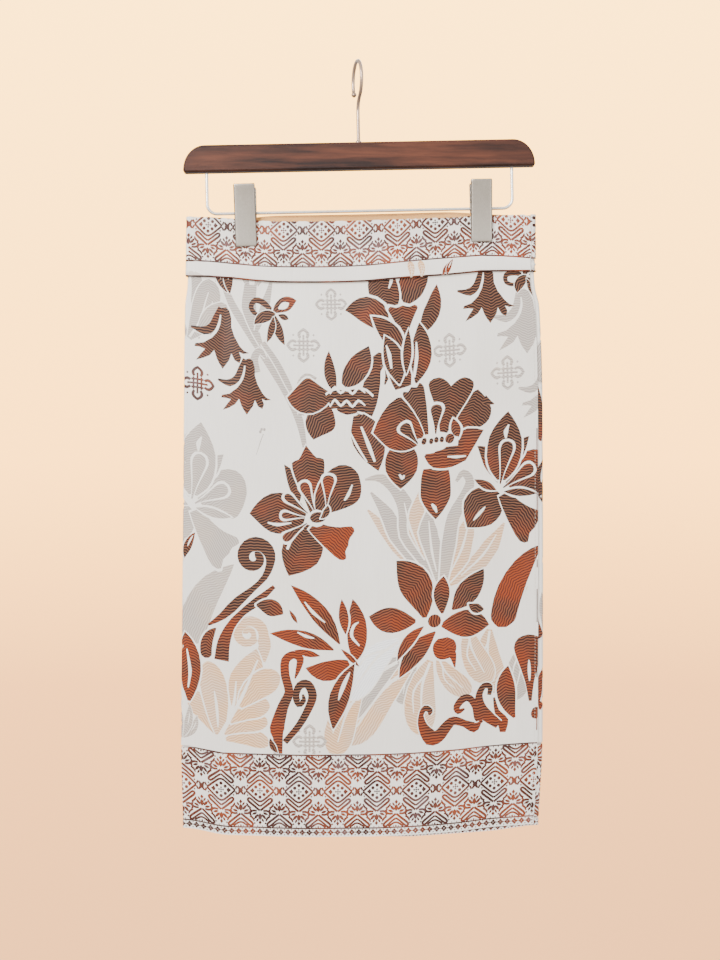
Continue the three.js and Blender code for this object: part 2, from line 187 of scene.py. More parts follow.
FRONT_FOLDS = [
    Fold(-112, 16, 0.9, 232, 400),
    Fold(118, 16, 1.0, 232, 440),
    Fold(-70, 34, 1.4, 470, 900),
    Fold(8, 26, -1.1, 520, 900),
    Fold(92, 32, 1.5, 430, 900),
]
BACK_FOLDS = [
    Fold(-108, 16, 0.8, 232, 420),
    Fold(126, 16, 0.9, 232, 390),
    Fold(-44, 36, -1.2, 440, 900),
    Fold(46, 32, 1.5, 500, 900),
]
FRONT_CREASES = [
    Crease(151, 166, 149, 330, 5.0, -0.55),
    Crease(164, 172, 161, 262, 4.0, -0.4),
    Crease(137, 236, 141, 470, 9.0, -0.6),
    Crease(-136, 232, -141, 392, 8.0, -0.55),
    Crease(-92, 240, -84, 352, 9.0, 0.5),
    Crease(-30, 262, -36, 430, 13.0, 0.55),
    Crease(52, 246, 58, 382, 11.0, -0.5),
    Crease(-148, 520, -152, 800, 14.0, 0.8),
    Crease(-108, 610, -104, 810, 13.0, -0.8),
    Crease(48, 600, 52, 810, 12.0, 0.7),
    Crease(140, 560, 136, 810, 15.0, -0.9),
    Crease(166, 470, 164, 800, 9.0, 0.7),
]
BACK_CREASES = [
    Crease(-140, 236, -146, 400, 8.0, -0.55),
    Crease(-84, 244, -78, 340, 10.0, 0.5),
    Crease(20, 250, 26, 410, 13.0, -0.5),
    Crease(88, 236, 82, 372, 9.0, 0.55),
    Crease(150, 240, 156, 452, 8.0, -0.55),
    Crease(-120, 590, -116, 810, 14.0, 0.8),
    Crease(96, 570, 100, 810, 13.0, -0.8),
    Crease(150, 530, 146, 800, 12.0, 0.7),
]
CREASE_FADE = 38.0  # length over which a crease begins and ends
FOLD_FADE = 45.0


@dataclass(frozen=True)
class WrapForm:
    """The loop that every layer of the wrap follows, at any height and distance out of it.

    A place round the loop is 0 at the middle of the left fold, 1 to 2 on the front, 2 to 3 on the
    right fold, 3 to 4 on the back, and 5 at the left fold's middle again.
    """

    pitch: float = 1.3
    front: float = 1.0
    right_fold: float = 2.0
    back: float = 3.0
    left_fold: float = 4.0
    waist_from: float = -0.57
    waist_to: float = 0.6
    swell_from: float = 190.0
    swell_to: float = 300.0
    lift_from: float = -0.04
    lift_to: float = 0.1
    lift_top: float = 189.0
    lift_full: float = 198.0

    def across(self, place: Points) -> Points:
        """How far across its panel a place lies, from -1 at the left fold to 1 at the right."""
        on_front, on_back = 2 * (place - self.front) - 1, 1 - 2 * (place - self.back)
        return np.clip(np.where(place <= self.right_fold, on_front, on_back), -1, 1)

    def lift(self, across: Points, down: Points) -> Points:
        """How far the front stands out where the underlap lies beneath it."""
        rise = ease(across, self.lift_from, self.lift_to)
        return (self.pitch + 0.1) * rise * ease(down, self.lift_top, self.lift_full)

    def swell(self, across: Points, down: Points) -> Points:
        """How far a panel bows out between the side folds."""
        middle, reach = (self.waist_from + self.waist_to) / 2, (self.waist_to - self.waist_from) / 2
        waist = np.maximum(0, 1 - ((across - middle) / reach) ** 2)
        spread = ease(down, self.swell_from, self.swell_to)
        return LEVELS.read("swell", down) * mix(waist, 1 - across**2, spread)

    @staticmethod
    def relief(folds: Sequence[Fold], creases: Sequence[Crease], x: Points, down: Points) -> Points:
        """Adds up the soft folds and creases of one side.

        Args:
            folds: the upright folds.
            creases: the slanting creases.
            x: places from left to right.
            down: places down from the rail.

        Returns:
            How far the cloth stands out there.
        """
        out = np.zeros_like(x)
        for fold in folds:
            start = ease(down, fold.start, fold.start + FOLD_FADE)
            end = 1 - ease(down, fold.end - FOLD_FADE, fold.end)
            out += fold.out * start * end * np.exp(-(((x - fold.x) / fold.width) ** 2))
        for crease in creases:
            run = np.array([crease.to_x - crease.x, crease.to_down - crease.down])
            length = float(np.hypot(*run))
            ahead, beside = run / length, np.array([-run[1], run[0]]) / length
            along = (x - crease.x) * ahead[0] + (down - crease.down) * ahead[1]
            aside = (x - crease.x) * beside[0] + (down - crease.down) * beside[1]
            fade = min(CREASE_FADE, length / 2)
            shown = ease(along, 0, fade) * (1 - ease(along, length - fade, length))
            out += crease.out * shown * np.exp(-((aside / crease.width) ** 2))
        return out

    def point(self, place: Points, down: Points, out: Points) -> Points:
        """Finds points of a layer.

        Args:
            place: places round the loop.
            down: distances down from the rail.
            out: how far the layer lies out of the innermost loop.

        Returns:
            The points, one row each, in millimetres.
        """
        left, right, turn_size = (LEVELS.read(c, down) for c in ("left", "right", "round"))
        start, end, radius = left + turn_size, right - turn_size, turn_size + out
        bow = radius + self.swell(self.across(place), down)
        x_front = mix(start, end, np.clip(place - self.front, 0, 1))
        x_back = mix(end, start, np.clip(place - self.back, 0, 1))
        first = place * math.pi / 2
        second = (place - self.right_fold) * math.pi
        third = (place - self.left_fold) * math.pi / 2
        where = [
            place < self.front,
            place <= self.right_fold,
            place < self.back,
            place <= self.left_fold,
        ]
        x = np.select(
            where,
            [start - radius * np.cos(first), x_front, end + radius * np.sin(second), x_back],
            start - radius * np.sin(third),
        )
        y = np.select(
            where,
            [
                -radius * np.sin(first),
                -bow - self.relief(FRONT_FOLDS, FRONT_CREASES, x, down),
                -radius * np.cos(second),
                bow + self.relief(BACK_FOLDS, BACK_CREASES, x, down),
            ],
            radius * np.cos(third),
        )
        return np.stack([x, y, -down], axis=1)


FORM = WrapForm()


# ---- Charts: flat cloth and where it lies ----


@dataclass(frozen=True)
class Lengths:
    """Lengths of cloth round the loop, measured along the chart."""

    quarter: float = 3.5
    panel: float = 363.1
    fold: float = 6.9
    width: float = 351.6
    front_edge: float = 2.7
    band_edge: float = 2.0
    under_edge: float = 25.6
    left: float = -171.6
    step: float = 6.5
    fold_step: float = 1.1

    @property
    def to_right(self) -> float:
        """From the left fold's middle, forwards, to the front's right end."""
        return self.quarter + self.panel

    @property
    def round_back(self) -> float:
        """From the left fold's middle, backwards, to the front's right end."""
        return self.quarter + self.panel + self.fold

    def place(self, s: Points) -> Points:
        """Turns lengths along the cloth into places round the loop.

        Args:
            s: lengths from the left fold's middle, above 0 on the front.

        Returns:
            The places. Below the right fold's end the cloth runs on under the front.
        """
        back_end = -self.quarter - self.panel
        return np.select(
            [s >= self.quarter, s >= 0, s >= -self.quarter, s >= back_end, s >= -self.round_back],
            [
                FORM.front + (s - self.quarter) / self.panel,
                s / self.quarter,
                5 + s / self.quarter,
                FORM.left_fold + (s + self.quarter) / self.panel,
                FORM.back + (s - back_end) / self.fold,
            ],
            FORM.right_fold + (s + self.round_back) / self.panel,
        )

    def columns(self, start: float, end: float) -> Points:
        """Lengths at which a chart has its columns, close together round the side folds.

        Args:
            start: the chart's lower end.
            end: its upper end.

        Returns:
            The lengths, with both ends.
        """
        marks = [-self.round_back - self.panel, -self.round_back, -self.quarter - self.panel]
        marks += [-self.quarter, self.quarter, self.to_right]
        found = [start]
        for low, high in zip(marks, marks[1:]):
            low, high = max(low, start), min(high, end)
            if high > low:
                step = self.fold_step if high - low < 2 * self.fold else self.step
                count = max(1, math.ceil((high - low) / step))
                found += list(np.linspace(low, high, count + 1)[1:])
        return np.array(found)


CLOTH = Lengths()
TURN = FORM.pitch / 2  # radius of the cloth's own turn at a folded edge
TURN_END = 0.5 + TURN  # from a folded edge to the centre of its turn
TUCK_DEPTH = 15.0


class Chart:
    """A flat piece of cloth: its outline, the points inside it, and where each point lies."""

    step = 6.5

    def outline(self) -> Points:
        """The cut edge, anticlockwise."""
        raise NotImplementedError

    def lattice(self, step: float) -> Points:
        """Points inside, about a step apart."""
        raise NotImplementedError

    def middle(self, flat: Points) -> Points:
        """Where points of the chart lie, in the middle of the cloth's thickness."""
        raise NotImplementedError

    @staticmethod
    def loop(columns: Points, low: Callable, high: Callable, rows: int) -> Points:
        """Goes round a chart that has a lower and an upper edge.

        Args:
            columns: lengths along the chart.
            low: the lower edge's height at given lengths.
            high: the upper edge's height.
            rows: steps up each side.

        Returns:
            The points of the outline.
        """
        shares = np.linspace(0, 1, rows + 1)[1:-1]
        sides = []
        for s in (columns[-1], columns[0]):
            at = np.array([s])
            sides.append([(s, float(mix(low(at), high(at), t)[0])) for t in shares])
        below = list(zip(columns, low(columns)))
        above = list(zip(columns, high(columns)))
        return np.array(below + sides[0] + above[::-1] + sides[1][::-1], float)


class BodyChart(Chart):
    """The cloth below the tuck: length round the loop and height above the hem."""

    def __init__(self) -> None:
        """Takes the whole run, from the underlap's edge round the back to the front's edge."""
        self.end = CLOTH.to_right - CLOTH.front_edge
        hidden = (CLOTH.width + CLOTH.left - CLOTH.under_edge) / CLOTH.width * CLOTH.panel
        self.start = -CLOTH.round_back - hidden

    def hem(self, s: Points) -> Points:
        """How far down the hem lies."""
        across = FORM.across(CLOTH.place(s))
        return np.where(s >= 0, EDGES.read("hem", across), EDGES.read("underHem", across))

    def height(self, s: Points) -> Points:
        """Height of the cloth's upper edge, which is hidden behind the tuck, above the hem."""
        return self.hem(s) - EDGES.read("tuck", FORM.across(CLOTH.place(s))) + TUCK_DEPTH

    def outline(self) -> Points:
        """The cut edge, anticlockwise."""
        columns = CLOTH.columns(self.start, self.end)
        return self.loop(columns, lambda s: 0 * s, self.height, 88)

    def lattice(self, step: float) -> Points:
        """Points inside, about a step apart."""
        columns = CLOTH.columns(self.start, self.end)[1:-1:max(1, round(step / self.step))]
        found = []
        for s, top in zip(columns, self.height(columns)):
            count = round(top / step)
            found += [(s, top * k / count) for k in range(1, count)]
        return np.array(found)

    def middle(self, flat: Points) -> Points:
        """Where points of the chart lie, in the middle of the cloth's thickness."""
        s, height = flat.T
        place = CLOTH.place(s)
        down = self.hem(s) - height
        lift = np.where(s >= 0, FORM.lift(FORM.across(place), down), 0)
        return FORM.point(place, down, lift)


class BandChart(Chart):
    """The waist band: length round the loop, and height above the tuck's lower turn.

    Below 0 the cloth turns under and runs up behind the band. On the front it also turns in at the
    top and hangs down inside.
    """

    def __init__(self, start: float, end: float, top: str, turn_in: float) -> None:
        """Takes one stretch of the band.

        Args:
            start: its lower end along the cloth.
            end: its upper end.
            top: the table's column for its upper edge.
            turn_in: height of the cloth folded inside, 0 for a plain edge.
        """
        self.start, self.end, self.top, self.turn_in = start, end, top, turn_in
        self.half_turn = math.pi * TURN

    def edge(self, s: Points, column: str) -> Points:
        """How far down an edge lies."""
        return EDGES.read(column, FORM.across(CLOTH.place(s)))

    def face(self, s: Points) -> Points:
        """Height of the band's face between its turns."""
        turn = TURN_END if self.turn_in else 0
        return self.edge(s, "tuck") - TURN_END - self.edge(s, self.top) - turn

    def line(self, s: Points) -> Points:
        """Height at which the border's line runs."""
        return self.edge(s, "tuck") - TURN_END - self.edge(s, "line")

    def high(self, s: Points) -> Points:
        """Height of the upper cut edge."""
        inside = self.half_turn + self.turn_in if self.turn_in else 0
        return self.face(s) + inside

    def low(self, s: Points) -> Points:
        """Height of the lower cut edge."""
        return 0 * s - self.half_turn - (TUCK_DEPTH - TURN_END)

    def outline(self) -> Points:
        """The cut edge, anticlockwise."""
        return self.loop(CLOTH.columns(self.start, self.end), self.low, self.high, 18)

    def lattice(self, step: float) -> Points:
        """Points inside, about a step apart, with rows through the turns."""
        columns = CLOTH.columns(self.start, self.end)[1:-1]
        low, face, high = float(self.low(columns)[0]), self.face(columns), self.high(columns)
        bends = list(np.linspace(0, self.half_turn, 5))
        found = []
        for s, level, top in zip(columns, face, high):
            rows = [low / 2 - 1] + [-bend for bend in bends]
            rows += list(np.linspace(0, level, round(level / step) + 1)[1:-1])
            if self.turn_in:
                rows += [level + bend for bend in bends]
                rows += [level + self.half_turn + self.turn_in * k / 3 for k in (1, 2)]
            found += [(s, row) for row in rows if low + 0.5 < row < top - 0.5]
        return np.array(found)

    def middle(self, flat: Points) -> Points:
        """Where points of the chart lie, in the middle of the cloth's thickness."""
        s, w = flat.T
        place = CLOTH.place(s)
        face, foot = self.face(s), self.edge(s, "tuck") - TURN_END
        above, below = (w - face) / TURN, -w / TURN
        over = bool(self.turn_in)
        where = [
            (w > face + self.half_turn) & over,
            (w > face) & over,
            w >= 0,
            w > -self.half_turn,
        ]
        crown = foot - face
        down = np.select(
            where,
            [crown + w - face - self.half_turn, crown - TURN * np.sin(above), foot - w,
             foot + TURN * np.sin(below)],
            foot + w + self.half_turn,
        )
        inner, middle, outer = FORM.pitch, 1.5 * FORM.pitch, 2 * FORM.pitch
        out = np.select(
            where,
            [0 * w + inner, middle + TURN * np.cos(above), 0 * w + outer,
             middle + TURN * np.cos(below)],
            inner,
        )
        lift = np.where(s >= 0, FORM.lift(FORM.across(place), down), 0)
        return FORM.point(place, down, out + lift)


class FacingChart(Chart):
    """The facing inside the back of the waist: length round the loop and height."""

    height = 24.0
    gap = 0.3

    def __init__(self) -> None:
        """Takes the back between the side folds."""
        self.start, self.end = -CLOTH.quarter - CLOTH.panel, -CLOTH.quarter

    def outline(self) -> Points:
        """The cut edge, anticlockwise."""
        columns = CLOTH.columns(self.start, self.end)
        return self.loop(columns, lambda s: 0 * s, lambda s: 0 * s + self.height, 5)

    def lattice(self, step: float) -> Points:
        """Points inside, about a step apart."""
        columns = CLOTH.columns(self.start, self.end)[1:-1]
        rows = np.linspace(0, self.height, 5)[1:-1]
        return np.array([(s, row) for s in columns for row in rows])

    def middle(self, flat: Points) -> Points:
        """Where points of the chart lie, in the middle of the cloth's thickness."""
        place = CLOTH.place(flat[:, 0])
        top = EDGES.read("backTop", FORM.across(place)) + self.gap
        down = top + self.height - flat[:, 1]
        return FORM.point(place, down, 0 * down + FORM.pitch)


# ---- The pattern, drawn flat ----


class Thread(Enum):
    """The finishes of the cloth, in the order of its material slots."""

    GROUND = 0
    COPPER = 1
    SILVER = 2
    PEACH = 3
    BORDER = 4
    # a silver leaf's painted specular highlight, in a nearly white thread
    PAINTED_HIGHLIGHT = 5
    REVERSE = 6


@dataclass(frozen=True)
class Patch:
    """A closed patch of one thread on the chart, with the line that its ribs are laid across."""

    outline: Points
    thread: Thread
    axis: Points
    bow: float = 0.3
    tone: float = 0.5
    levelled: Union[float, None] = None

    def ribs(self, flat: Points) -> Points:
        """Finds where points lie in the patch.

        Args:
            flat: points of the chart, one row each.

        Returns:
            Their lengths along the axis and across it, and the patch's bow, one row each.
        """
        chord = self.axis[-1] - self.axis[0]
        angle = (math.degrees(math.atan2(chord[1], chord[0])) + 90) % 180 - 90
        if self.levelled is not None and (abs(angle) < STEEP or not self.levelled):
            lean = math.radians(angle * self.levelled)
            offset = flat - self.axis.mean(axis=0)
            rise = offset @ np.array([-math.sin(lean), math.cos(lean)])
            aside = offset @ np.array([math.cos(lean), math.sin(lean)])
            return np.stack([rise, aside, np.full(len(flat), self.bow)], axis=1)
        start, run = self.axis[:-1], np.diff(self.axis, axis=0)
        length = np.maximum(np.hypot(*run.T), 1e-6)
        ahead = run / length[:, None]
        offset = flat[:, None, :] - start[None]
        along = (offset * ahead[None]).sum(axis=2)
        across = offset[..., 0] * ahead[None, :, 1] - offset[..., 1] * ahead[None, :, 0]
        low, high = np.zeros(len(length)), length.copy()
        low[0], high[-1] = -1e3, 1e3
        held = np.clip(along, low, high)
        nearest = np.hypot(across, along - held).argmin(axis=1)
        rows = np.arange(len(flat))
        travelled = np.append(0, np.cumsum(length)[:-1])[nearest] + along[rows, nearest]
        aside = across[rows, nearest]
        return np.stack([travelled, aside, np.full(len(flat), self.bow)], axis=1)


def smooth(points: Sequence[Sequence[float]], closed: bool = False, steps: int = 3) -> Points:
    """Runs a curve through points.

    Args:
        points: the points, in order.
        closed: whether the curve comes back to its start.
        steps: points of the curve for each step between points.

    Returns:
        The points of the curve.
    """
    knots = np.array(points, float)
    if closed:
        padded = np.concatenate([knots[-1:], knots, knots[:2]])
    else:
        padded = np.concatenate([2 * knots[:1] - knots[1:2], knots, 2 * knots[-1:] - knots[-2:-1]])
    found = []
    for a, b, c, d in zip(padded, padded[1:], padded[2:], padded[3:]):
        for t in np.arange(steps) / steps:
            lean = (c - a) * t + (2 * a - 5 * b + 4 * c - d) * t**2 + (3 * b - a - 3 * c + d) * t**3
            found.append(b + 0.5 * lean)
    if not closed:
        found.append(knots[-1])
    return np.array(found)


def anticlockwise(outline: Points) -> Points:
    """Puts an outline's points in anticlockwise order."""
    x, y = outline.T
    area = (x * np.roll(y, -1) - np.roll(x, -1) * y).sum()
    return outline if area > 0 else outline[::-1]


# Outlines of petals and leaves, from root to tip: half widths at heights, as shares.
FORMS: dict[str, list[tuple[float, float]]] = {
    "pointed": [(0.06, 0), (0.30, 0.2), (0.47, 0.45), (0.44, 0.68), (0.24, 0.87), (0, 1)],
    "broad": [(0.10, 0), (0.34, 0.22), (0.50, 0.55), (0.47, 0.8), (0.26, 0.95), (0, 1)],
    "kite": [(0.12, 0), (0.36, 0.14), (0.50, 0.34), (0.48, 0.62), (0.26, 0.84), (0, 1)],
    "lance": [(0.04, 0), (0.38, 0.24), (0.50, 0.48), (0.36, 0.74), (0.16, 0.9), (0, 1)],
    "drop": [(0.05, 0), (0.16, 0.3), (0.38, 0.62), (0.50, 0.82), (0.34, 0.96), (0, 1)],
    "fan": [(0.08, 0), (0.20, 0.34), (0.40, 0.72), (0.50, 0.9), (0.40, 0.99), (0.22, 0.94), (0, 1)],
    "notched": [(0.08, 0), (0.24, 0.36), (0.46, 0.74), (0.48, 0.92), (0.28, 1.0), (0.1, 0.93),
                (0, 0.84)],
    "crown": [(0.12, 0), (0.30, 0.3), (0.46, 0.56), (0.50, 0.76), (0.28, 0.8), (0.13, 0.9), (0, 1)],
    "cup": [(0.28, 0), (0.34, 0.2), (0.42, 0.5), (0.50, 0.8), (0.48, 0.97), (0.25, 1.0), (0, 0.96)],
    "round": [(0.2, 0), (0.44, 0.2), (0.50, 0.5), (0.42, 0.8), (0.2, 0.97), (0, 1)],
    "shield": [(0.40, 0), (0.47, 0.15), (0.50, 0.45), (0.46, 0.62), (0.24, 0.84), (0, 1)],
    "blade": [(0.16, 0), (0.44, 0.07), (0.50, 0.18), (0.50, 0.42), (0.38, 0.7), (0.18, 0.9), (0, 1)],
    "flare": [(0.16, 0), (0.25, 0.3), (0.37, 0.6), (0.50, 0.88), (0.40, 1.0), (0.2, 0.94),
              (0, 0.96)],
}
RIM = 1.9  # width of the bare satin left round a petal
STEEP = 66.0  # degrees from level; a steeper petal has its ribs across its own middle line
PETAL_LEAN = 0.7  # share of a petal's slope that its ribs take
Vec = tuple[float, float]


def polar(angle: float, length: float) -> Points:
    """A step of a length in a direction given in degrees."""
    turn = math.radians(angle)
    return np.array([math.cos(turn), math.sin(turn)]) * length


def band_outline(axis: Points, widths: Points) -> Points:
    """The outline of a band along an axis.

    Args:
        axis: points of its middle line.
        widths: its width at each.

    Returns:
        The outline, out along one side and back along the other.
    """
    ahead = np.gradient(axis, axis=0)
    ahead /= np.maximum(np.hypot(*ahead.T), 1e-9)[:, None]
    beside = np.stack([-ahead[:, 1], ahead[:, 0]], axis=1) * widths[:, None] / 2
    return np.concatenate([axis + beside, (axis - beside)[::-1]])


@dataclass
class Drawing:
    """Patches in painter's order, drawn round an origin of their own."""

    patches: list[Patch] = field(default_factory=list)

    def petal(
        self,
        form: str,
        root: Sequence[float],
        angle: float,
        length: float,
        width: float,
        thread: Thread = Thread.COPPER,
        bend: float = 0.0,
        skew: float = 0.0,
        slit: Union[tuple[float, float, float], None] = None,
        tone: float = 0.5,
        rim: float = RIM,
        bow: float = 0.45,
    ) -> "Drawing":
        """Draws a petal or a leaf, with bare satin round it.

        Args:
            form: the outline's name.
            root: where it starts.
            angle: where it points, in degrees.
            length: from root to tip.
            width: its greatest width.
            thread: its finish.
            bend: how far its middle line bows to its left, as a share of its length.
            skew: how much wider its left side is, as a share.
            slit: a bare slit on its middle line, as where it starts, where it ends and its width.
            tone: how much of the bright thread it has, and how strongly its thread's painted sheen
                glows.
            rim: width of the bare satin round it.
            bow: how steeply its ribs run back from the middle line.

        Returns:
            The drawing.
        """
        start = np.array(root, float)
        ahead = polar(angle, 1.0)
        beside = np.array([-ahead[1], ahead[0]])

        def axis_at(t: Points) -> Points:
            """Points of the bowed middle line."""
            t = np.asarray(t, float)[:, None]
            return start + ahead * length * t + beside * bend * length * 4 * t * (1 - t)

        half = smooth(FORMS[form], steps=2)
        layers = [(rim, Thread.GROUND)] if rim else []
        layers.append((0.0, thread))
        for grow, finish in layers:
            scale = 1 + 2 * grow / width
            reach = 1 + grow / length
            at = (half[:, 1] - 0.5) * (reach + grow / length) + 0.5
            ahead_here = axis_at(at + 0.01) - axis_at(at - 0.01)
            ahead_here /= np.hypot(*ahead_here.T)[:, None]
            side = np.stack([-ahead_here[:, 1], ahead_here[:, 0]], axis=1)
            reach_out = half[:, :1] * width * scale
            left = axis_at(at) + side * reach_out * (1 + skew)
            right = axis_at(at) - side * reach_out * (1 - skew)
            shape = np.concatenate([left, right[-2::-1]])
            middle = axis_at(np.linspace(0, 1, 6))
            self.patches.append(Patch(anticlockwise(shape), finish, middle, bow, tone, PETAL_LEAN))
        if slit:
            low, high, wide = slit
            at = np.linspace(low, high, 7)
            widths = wide * np.sin(np.linspace(0.15, math.pi - 0.15, 7)) ** 0.7
            shape = band_outline(axis_at(at), widths)
            self.patches.append(Patch(anticlockwise(shape), Thread.GROUND, shape[:2]))
        return self

    def stroke(
        self,
        route: Sequence[Sequence[float]],
        widths: Sequence[float],
        thread: Thread = Thread.COPPER,
        tone: float = 0.5,
        bow: float = 0.3,
        rim: float = 0.0,
        steps: int = 3,
    ) -> "Drawing":
        """Draws a band of changing width along a curve.

        Args:
            route: points that its middle line runs through.
            widths: its width at the start, at places along it, and at the end.
            thread: its finish.
            tone: how much of the bright thread it has, and how strongly its thread's painted sheen
                glows.
            bow: how steeply its ribs run back from the middle line.
            rim: width of the bare satin round it.
            steps: points of the curve for each step of the route.

        Returns:
            The drawing.
        """
        axis = smooth(route, steps=steps)
        ease_along = np.linspace(0, 1, len(axis))
        wide = np.interp(ease_along, np.linspace(0, 1, len(widths)), widths)
        if rim:
            shape = anticlockwise(band_outline(axis, wide + 2 * rim))
            self.patches.append(Patch(shape, Thread.GROUND, axis))
        shape = anticlockwise(band_outline(axis, wide))
        self.patches.append(Patch(shape, thread, axis, 0.25 * bow, tone, 0.0))
        return self

    def vein(self, route: Sequence[Sequence[float]], widths: Sequence[float]) -> "Drawing":
        """Draws a line of bare satin along a curve."""
        return self.stroke(route, widths, Thread.GROUND)

    def line(
        self, route: Sequence[Sequence[float]], widths: Sequence[float], steps: int = 2
    ) -> "Drawing":
        """Draws a line of the border's thread along a curve."""
        return self.stroke(route, widths, Thread.BORDER, steps=steps, bow=0)

    def disc(
        self, at: Sequence[float], radius: float, thread: Thread, sides: int = 8, tone: float = 0.5
    ) -> "Drawing":
        """Draws a dot.

        Args:
            at: its middle.
            radius: its radius.
            thread: its finish.
            sides: its corners.
            tone: how much of the bright thread it has, and how strongly its thread's painted sheen
                glows.

        Returns:
            The drawing.
        """
        turn = np.arange(sides) * 2 * math.pi / sides
        shape = np.array(at, float) + radius * np.stack([np.cos(turn), np.sin(turn)], axis=1)
        axis = np.array([shape[0], shape[sides // 2]])
        self.patches.append(Patch(shape, thread, axis, 0.2, tone))
        return self

    def polygon(
        self, corners: Sequence[Sequence[float]], thread: Thread, tone: float = 0.5
    ) -> "Drawing":
        """Draws a patch with straight sides, its ribs laid across its first side."""
        shape = np.array(corners, float)
        self.patches.append(Patch(anticlockwise(shape), thread, shape[:2], 0.3, tone))
        return self

    def cutout(
        self,
        corners: Sequence[Sequence[float]],
        middle: Sequence[Sequence[float]],
        thread: Thread = Thread.COPPER,
        tone: float = 0.5,
        bow: float = 0.45,
    ) -> "Drawing":
        """Draws a closed shape whose ribs are laid across a middle line of its own.

        Args:
            corners: the shape's outline.
            middle: points of the middle line.
            thread: its finish.
            tone: how much of the bright thread it has, and how strongly its thread's painted sheen
                glows.
            bow: how steeply its ribs run back.

        Returns:
            The drawing.
        """
        shape = anticlockwise(np.array(corners, float))
        self.patches.append(Patch(shape, thread, np.array(middle, float), bow, tone))
        return self

    def placed(
        self,
        at: Sequence[float] = (0, 0),
        turn: float = 0.0,
        size: float = 1.0,
        mirror: bool = False,
        threads: Union[dict[Thread, Thread], None] = None,
        tone: float = 0.0,
    ) -> list[Patch]:
        """Moves a copy of the drawing to its place on the chart.

        Args:
            at: where its origin goes.
            turn: how far it is turned, in degrees.
            size: how much larger it is.
            mirror: whether it is turned over, left for right.
            threads: threads that stand in for others.
            tone: added to each patch's tone.

        Returns:
            The moved patches.
        """
        turned = math.radians(turn)
        spin = np.array(
            [[math.cos(turned), math.sin(turned)], [-math.sin(turned), math.cos(turned)]]
        )
        flip = np.array([-size if mirror else size, size])
        swap = threads or {}
        moved = []
        for patch in self.patches:
            outline = anticlockwise((patch.outline * flip) @ spin + np.array(at, float))
            axis = (patch.axis * flip) @ spin + np.array(at, float)
            moved.append(
                replace(
                    patch,
                    outline=outline,
                    axis=axis,
                    thread=swap.get(patch.thread, patch.thread),
                    tone=patch.tone + tone,
                )
            )
        return moved


# ---- Flowers, leaves and scrolls of the field ----


def spiral(centre: Vec, radius: float, end: float, start_angle: float, turns: float) -> Points:
    """Points of a spiral, from its outer end to its inner one.

    Args:
        centre: the spiral's middle.
        radius: its outer radius.
        end: its inner radius.
        start_angle: where its outer end lies, in degrees.
        turns: how far it winds, in whole turns; below 0 it winds clockwise.

    Returns:
        The points.
    """
    count = max(4, round(abs(turns) * 10))
    shares = np.linspace(0, 1, count + 1)
    return np.array(
        [
            np.array(centre) + polar(start_angle + 360 * turns * t, mix(radius, end, t))
            for t in shares
        ]
    )


def open_lily() -> Drawing:
    """A wide open lily about 110 mm across, with long white-rimmed drops at its heart."""
    lily = Drawing()
    lily.petal("kite", (-4, -4), 251, 56, 40, skew=0.2, tone=0.35)
    lily.vein([(-8, -8), (-18, -16), (-24, -30)], [2.4, 3.6, 2.6])
    lily.petal("flare", (1, -6), -28, 44, 36, bend=-0.05, skew=0.1, tone=1.0)
    lily.petal("kite", (-6, 2), 176, 57, 41, bend=-0.05, tone=0.3)
    lily.vein([(-20, -3), (-34, -5), (-44, -3)], [1.4, 3.4, 1.6])
    lily.petal("lance", (-13, 16), 110, 43, 13, bend=-0.08, tone=0.3)
    lily.petal("crown", (3, 8), 97, 69, 33, tone=0.55)
    lily.petal("broad", (8, 8), 44, 56, 42, bend=0.08, skew=-0.1, tone=0.45)
    lily.vein([(34, 20), (38, 26), (42, 36)], [1.6, 3.4, 1.4])
    for x, y, angle, length, width, tone in [
        (-4, -3, 216, 30, 9, 0.4), (-6, 3, 176, 24, 7, 0.3), (-3, 7, 142, 30, 8, 0.3),
        (4, 9, 113, 32, 10, 0.6), (16, 15, 86, 31, 12, 0.8),
    ]:
        lily.petal("drop", (x, y), angle, length, width, rim=2.5, tone=tone)
    lily.disc((6, 2), 9.0, Thread.GROUND, 12)
    lily.petal("round", (0, 0), 6, 15, 11, bend=0.15, tone=0.3, rim=0)
    lily.petal("pointed", (10, 2), 62, 15, 7, bend=-0.15, tone=0.5, rim=1.4)
    return lily


def side_lily() -> Drawing:
    """A lily turned aside, about 115 mm high, whose drops all rise from one foot."""
    lily = Drawing()
    lily.petal("kite", (-2, -4), 226, 46, 40, skew=-0.1, slit=(0.42, 0.8, 3.4), tone=0.3)
    lily.petal("flare", (4, -6), -48, 50, 37, bend=-0.06, skew=-0.1, tone=0.5)
    lily.petal("broad", (8, 2), 16, 46, 46, bend=0.1, tone=0.55)
    lily.petal("lance", (12, 20), 60, 36, 14, bend=0.08, tone=0.3)
    lily.petal("lance", (-3, 6), 118, 44, 18, bend=-0.12, tone=0.3)
    lily.petal("kite", (1, 8), 84, 70, 35, tone=0.4)
    lily.vein([(6, 50), (6, 57), (9, 64)], [1.6, 4.6, 1.4])
    lily.petal("drop", (0, 4), 79, 44, 13, rim=2.4, tone=0.35)
    lily.petal("drop", (3, 0), 34, 37, 12, rim=2.4, tone=0.4)
    lily.petal("lance", (4, -4), -6, 34, 8, rim=2.2, tone=0.35)
    lily.petal("lance", (-4, -2), 150, 26, 8, rim=1.8, tone=0.3)
    return lily


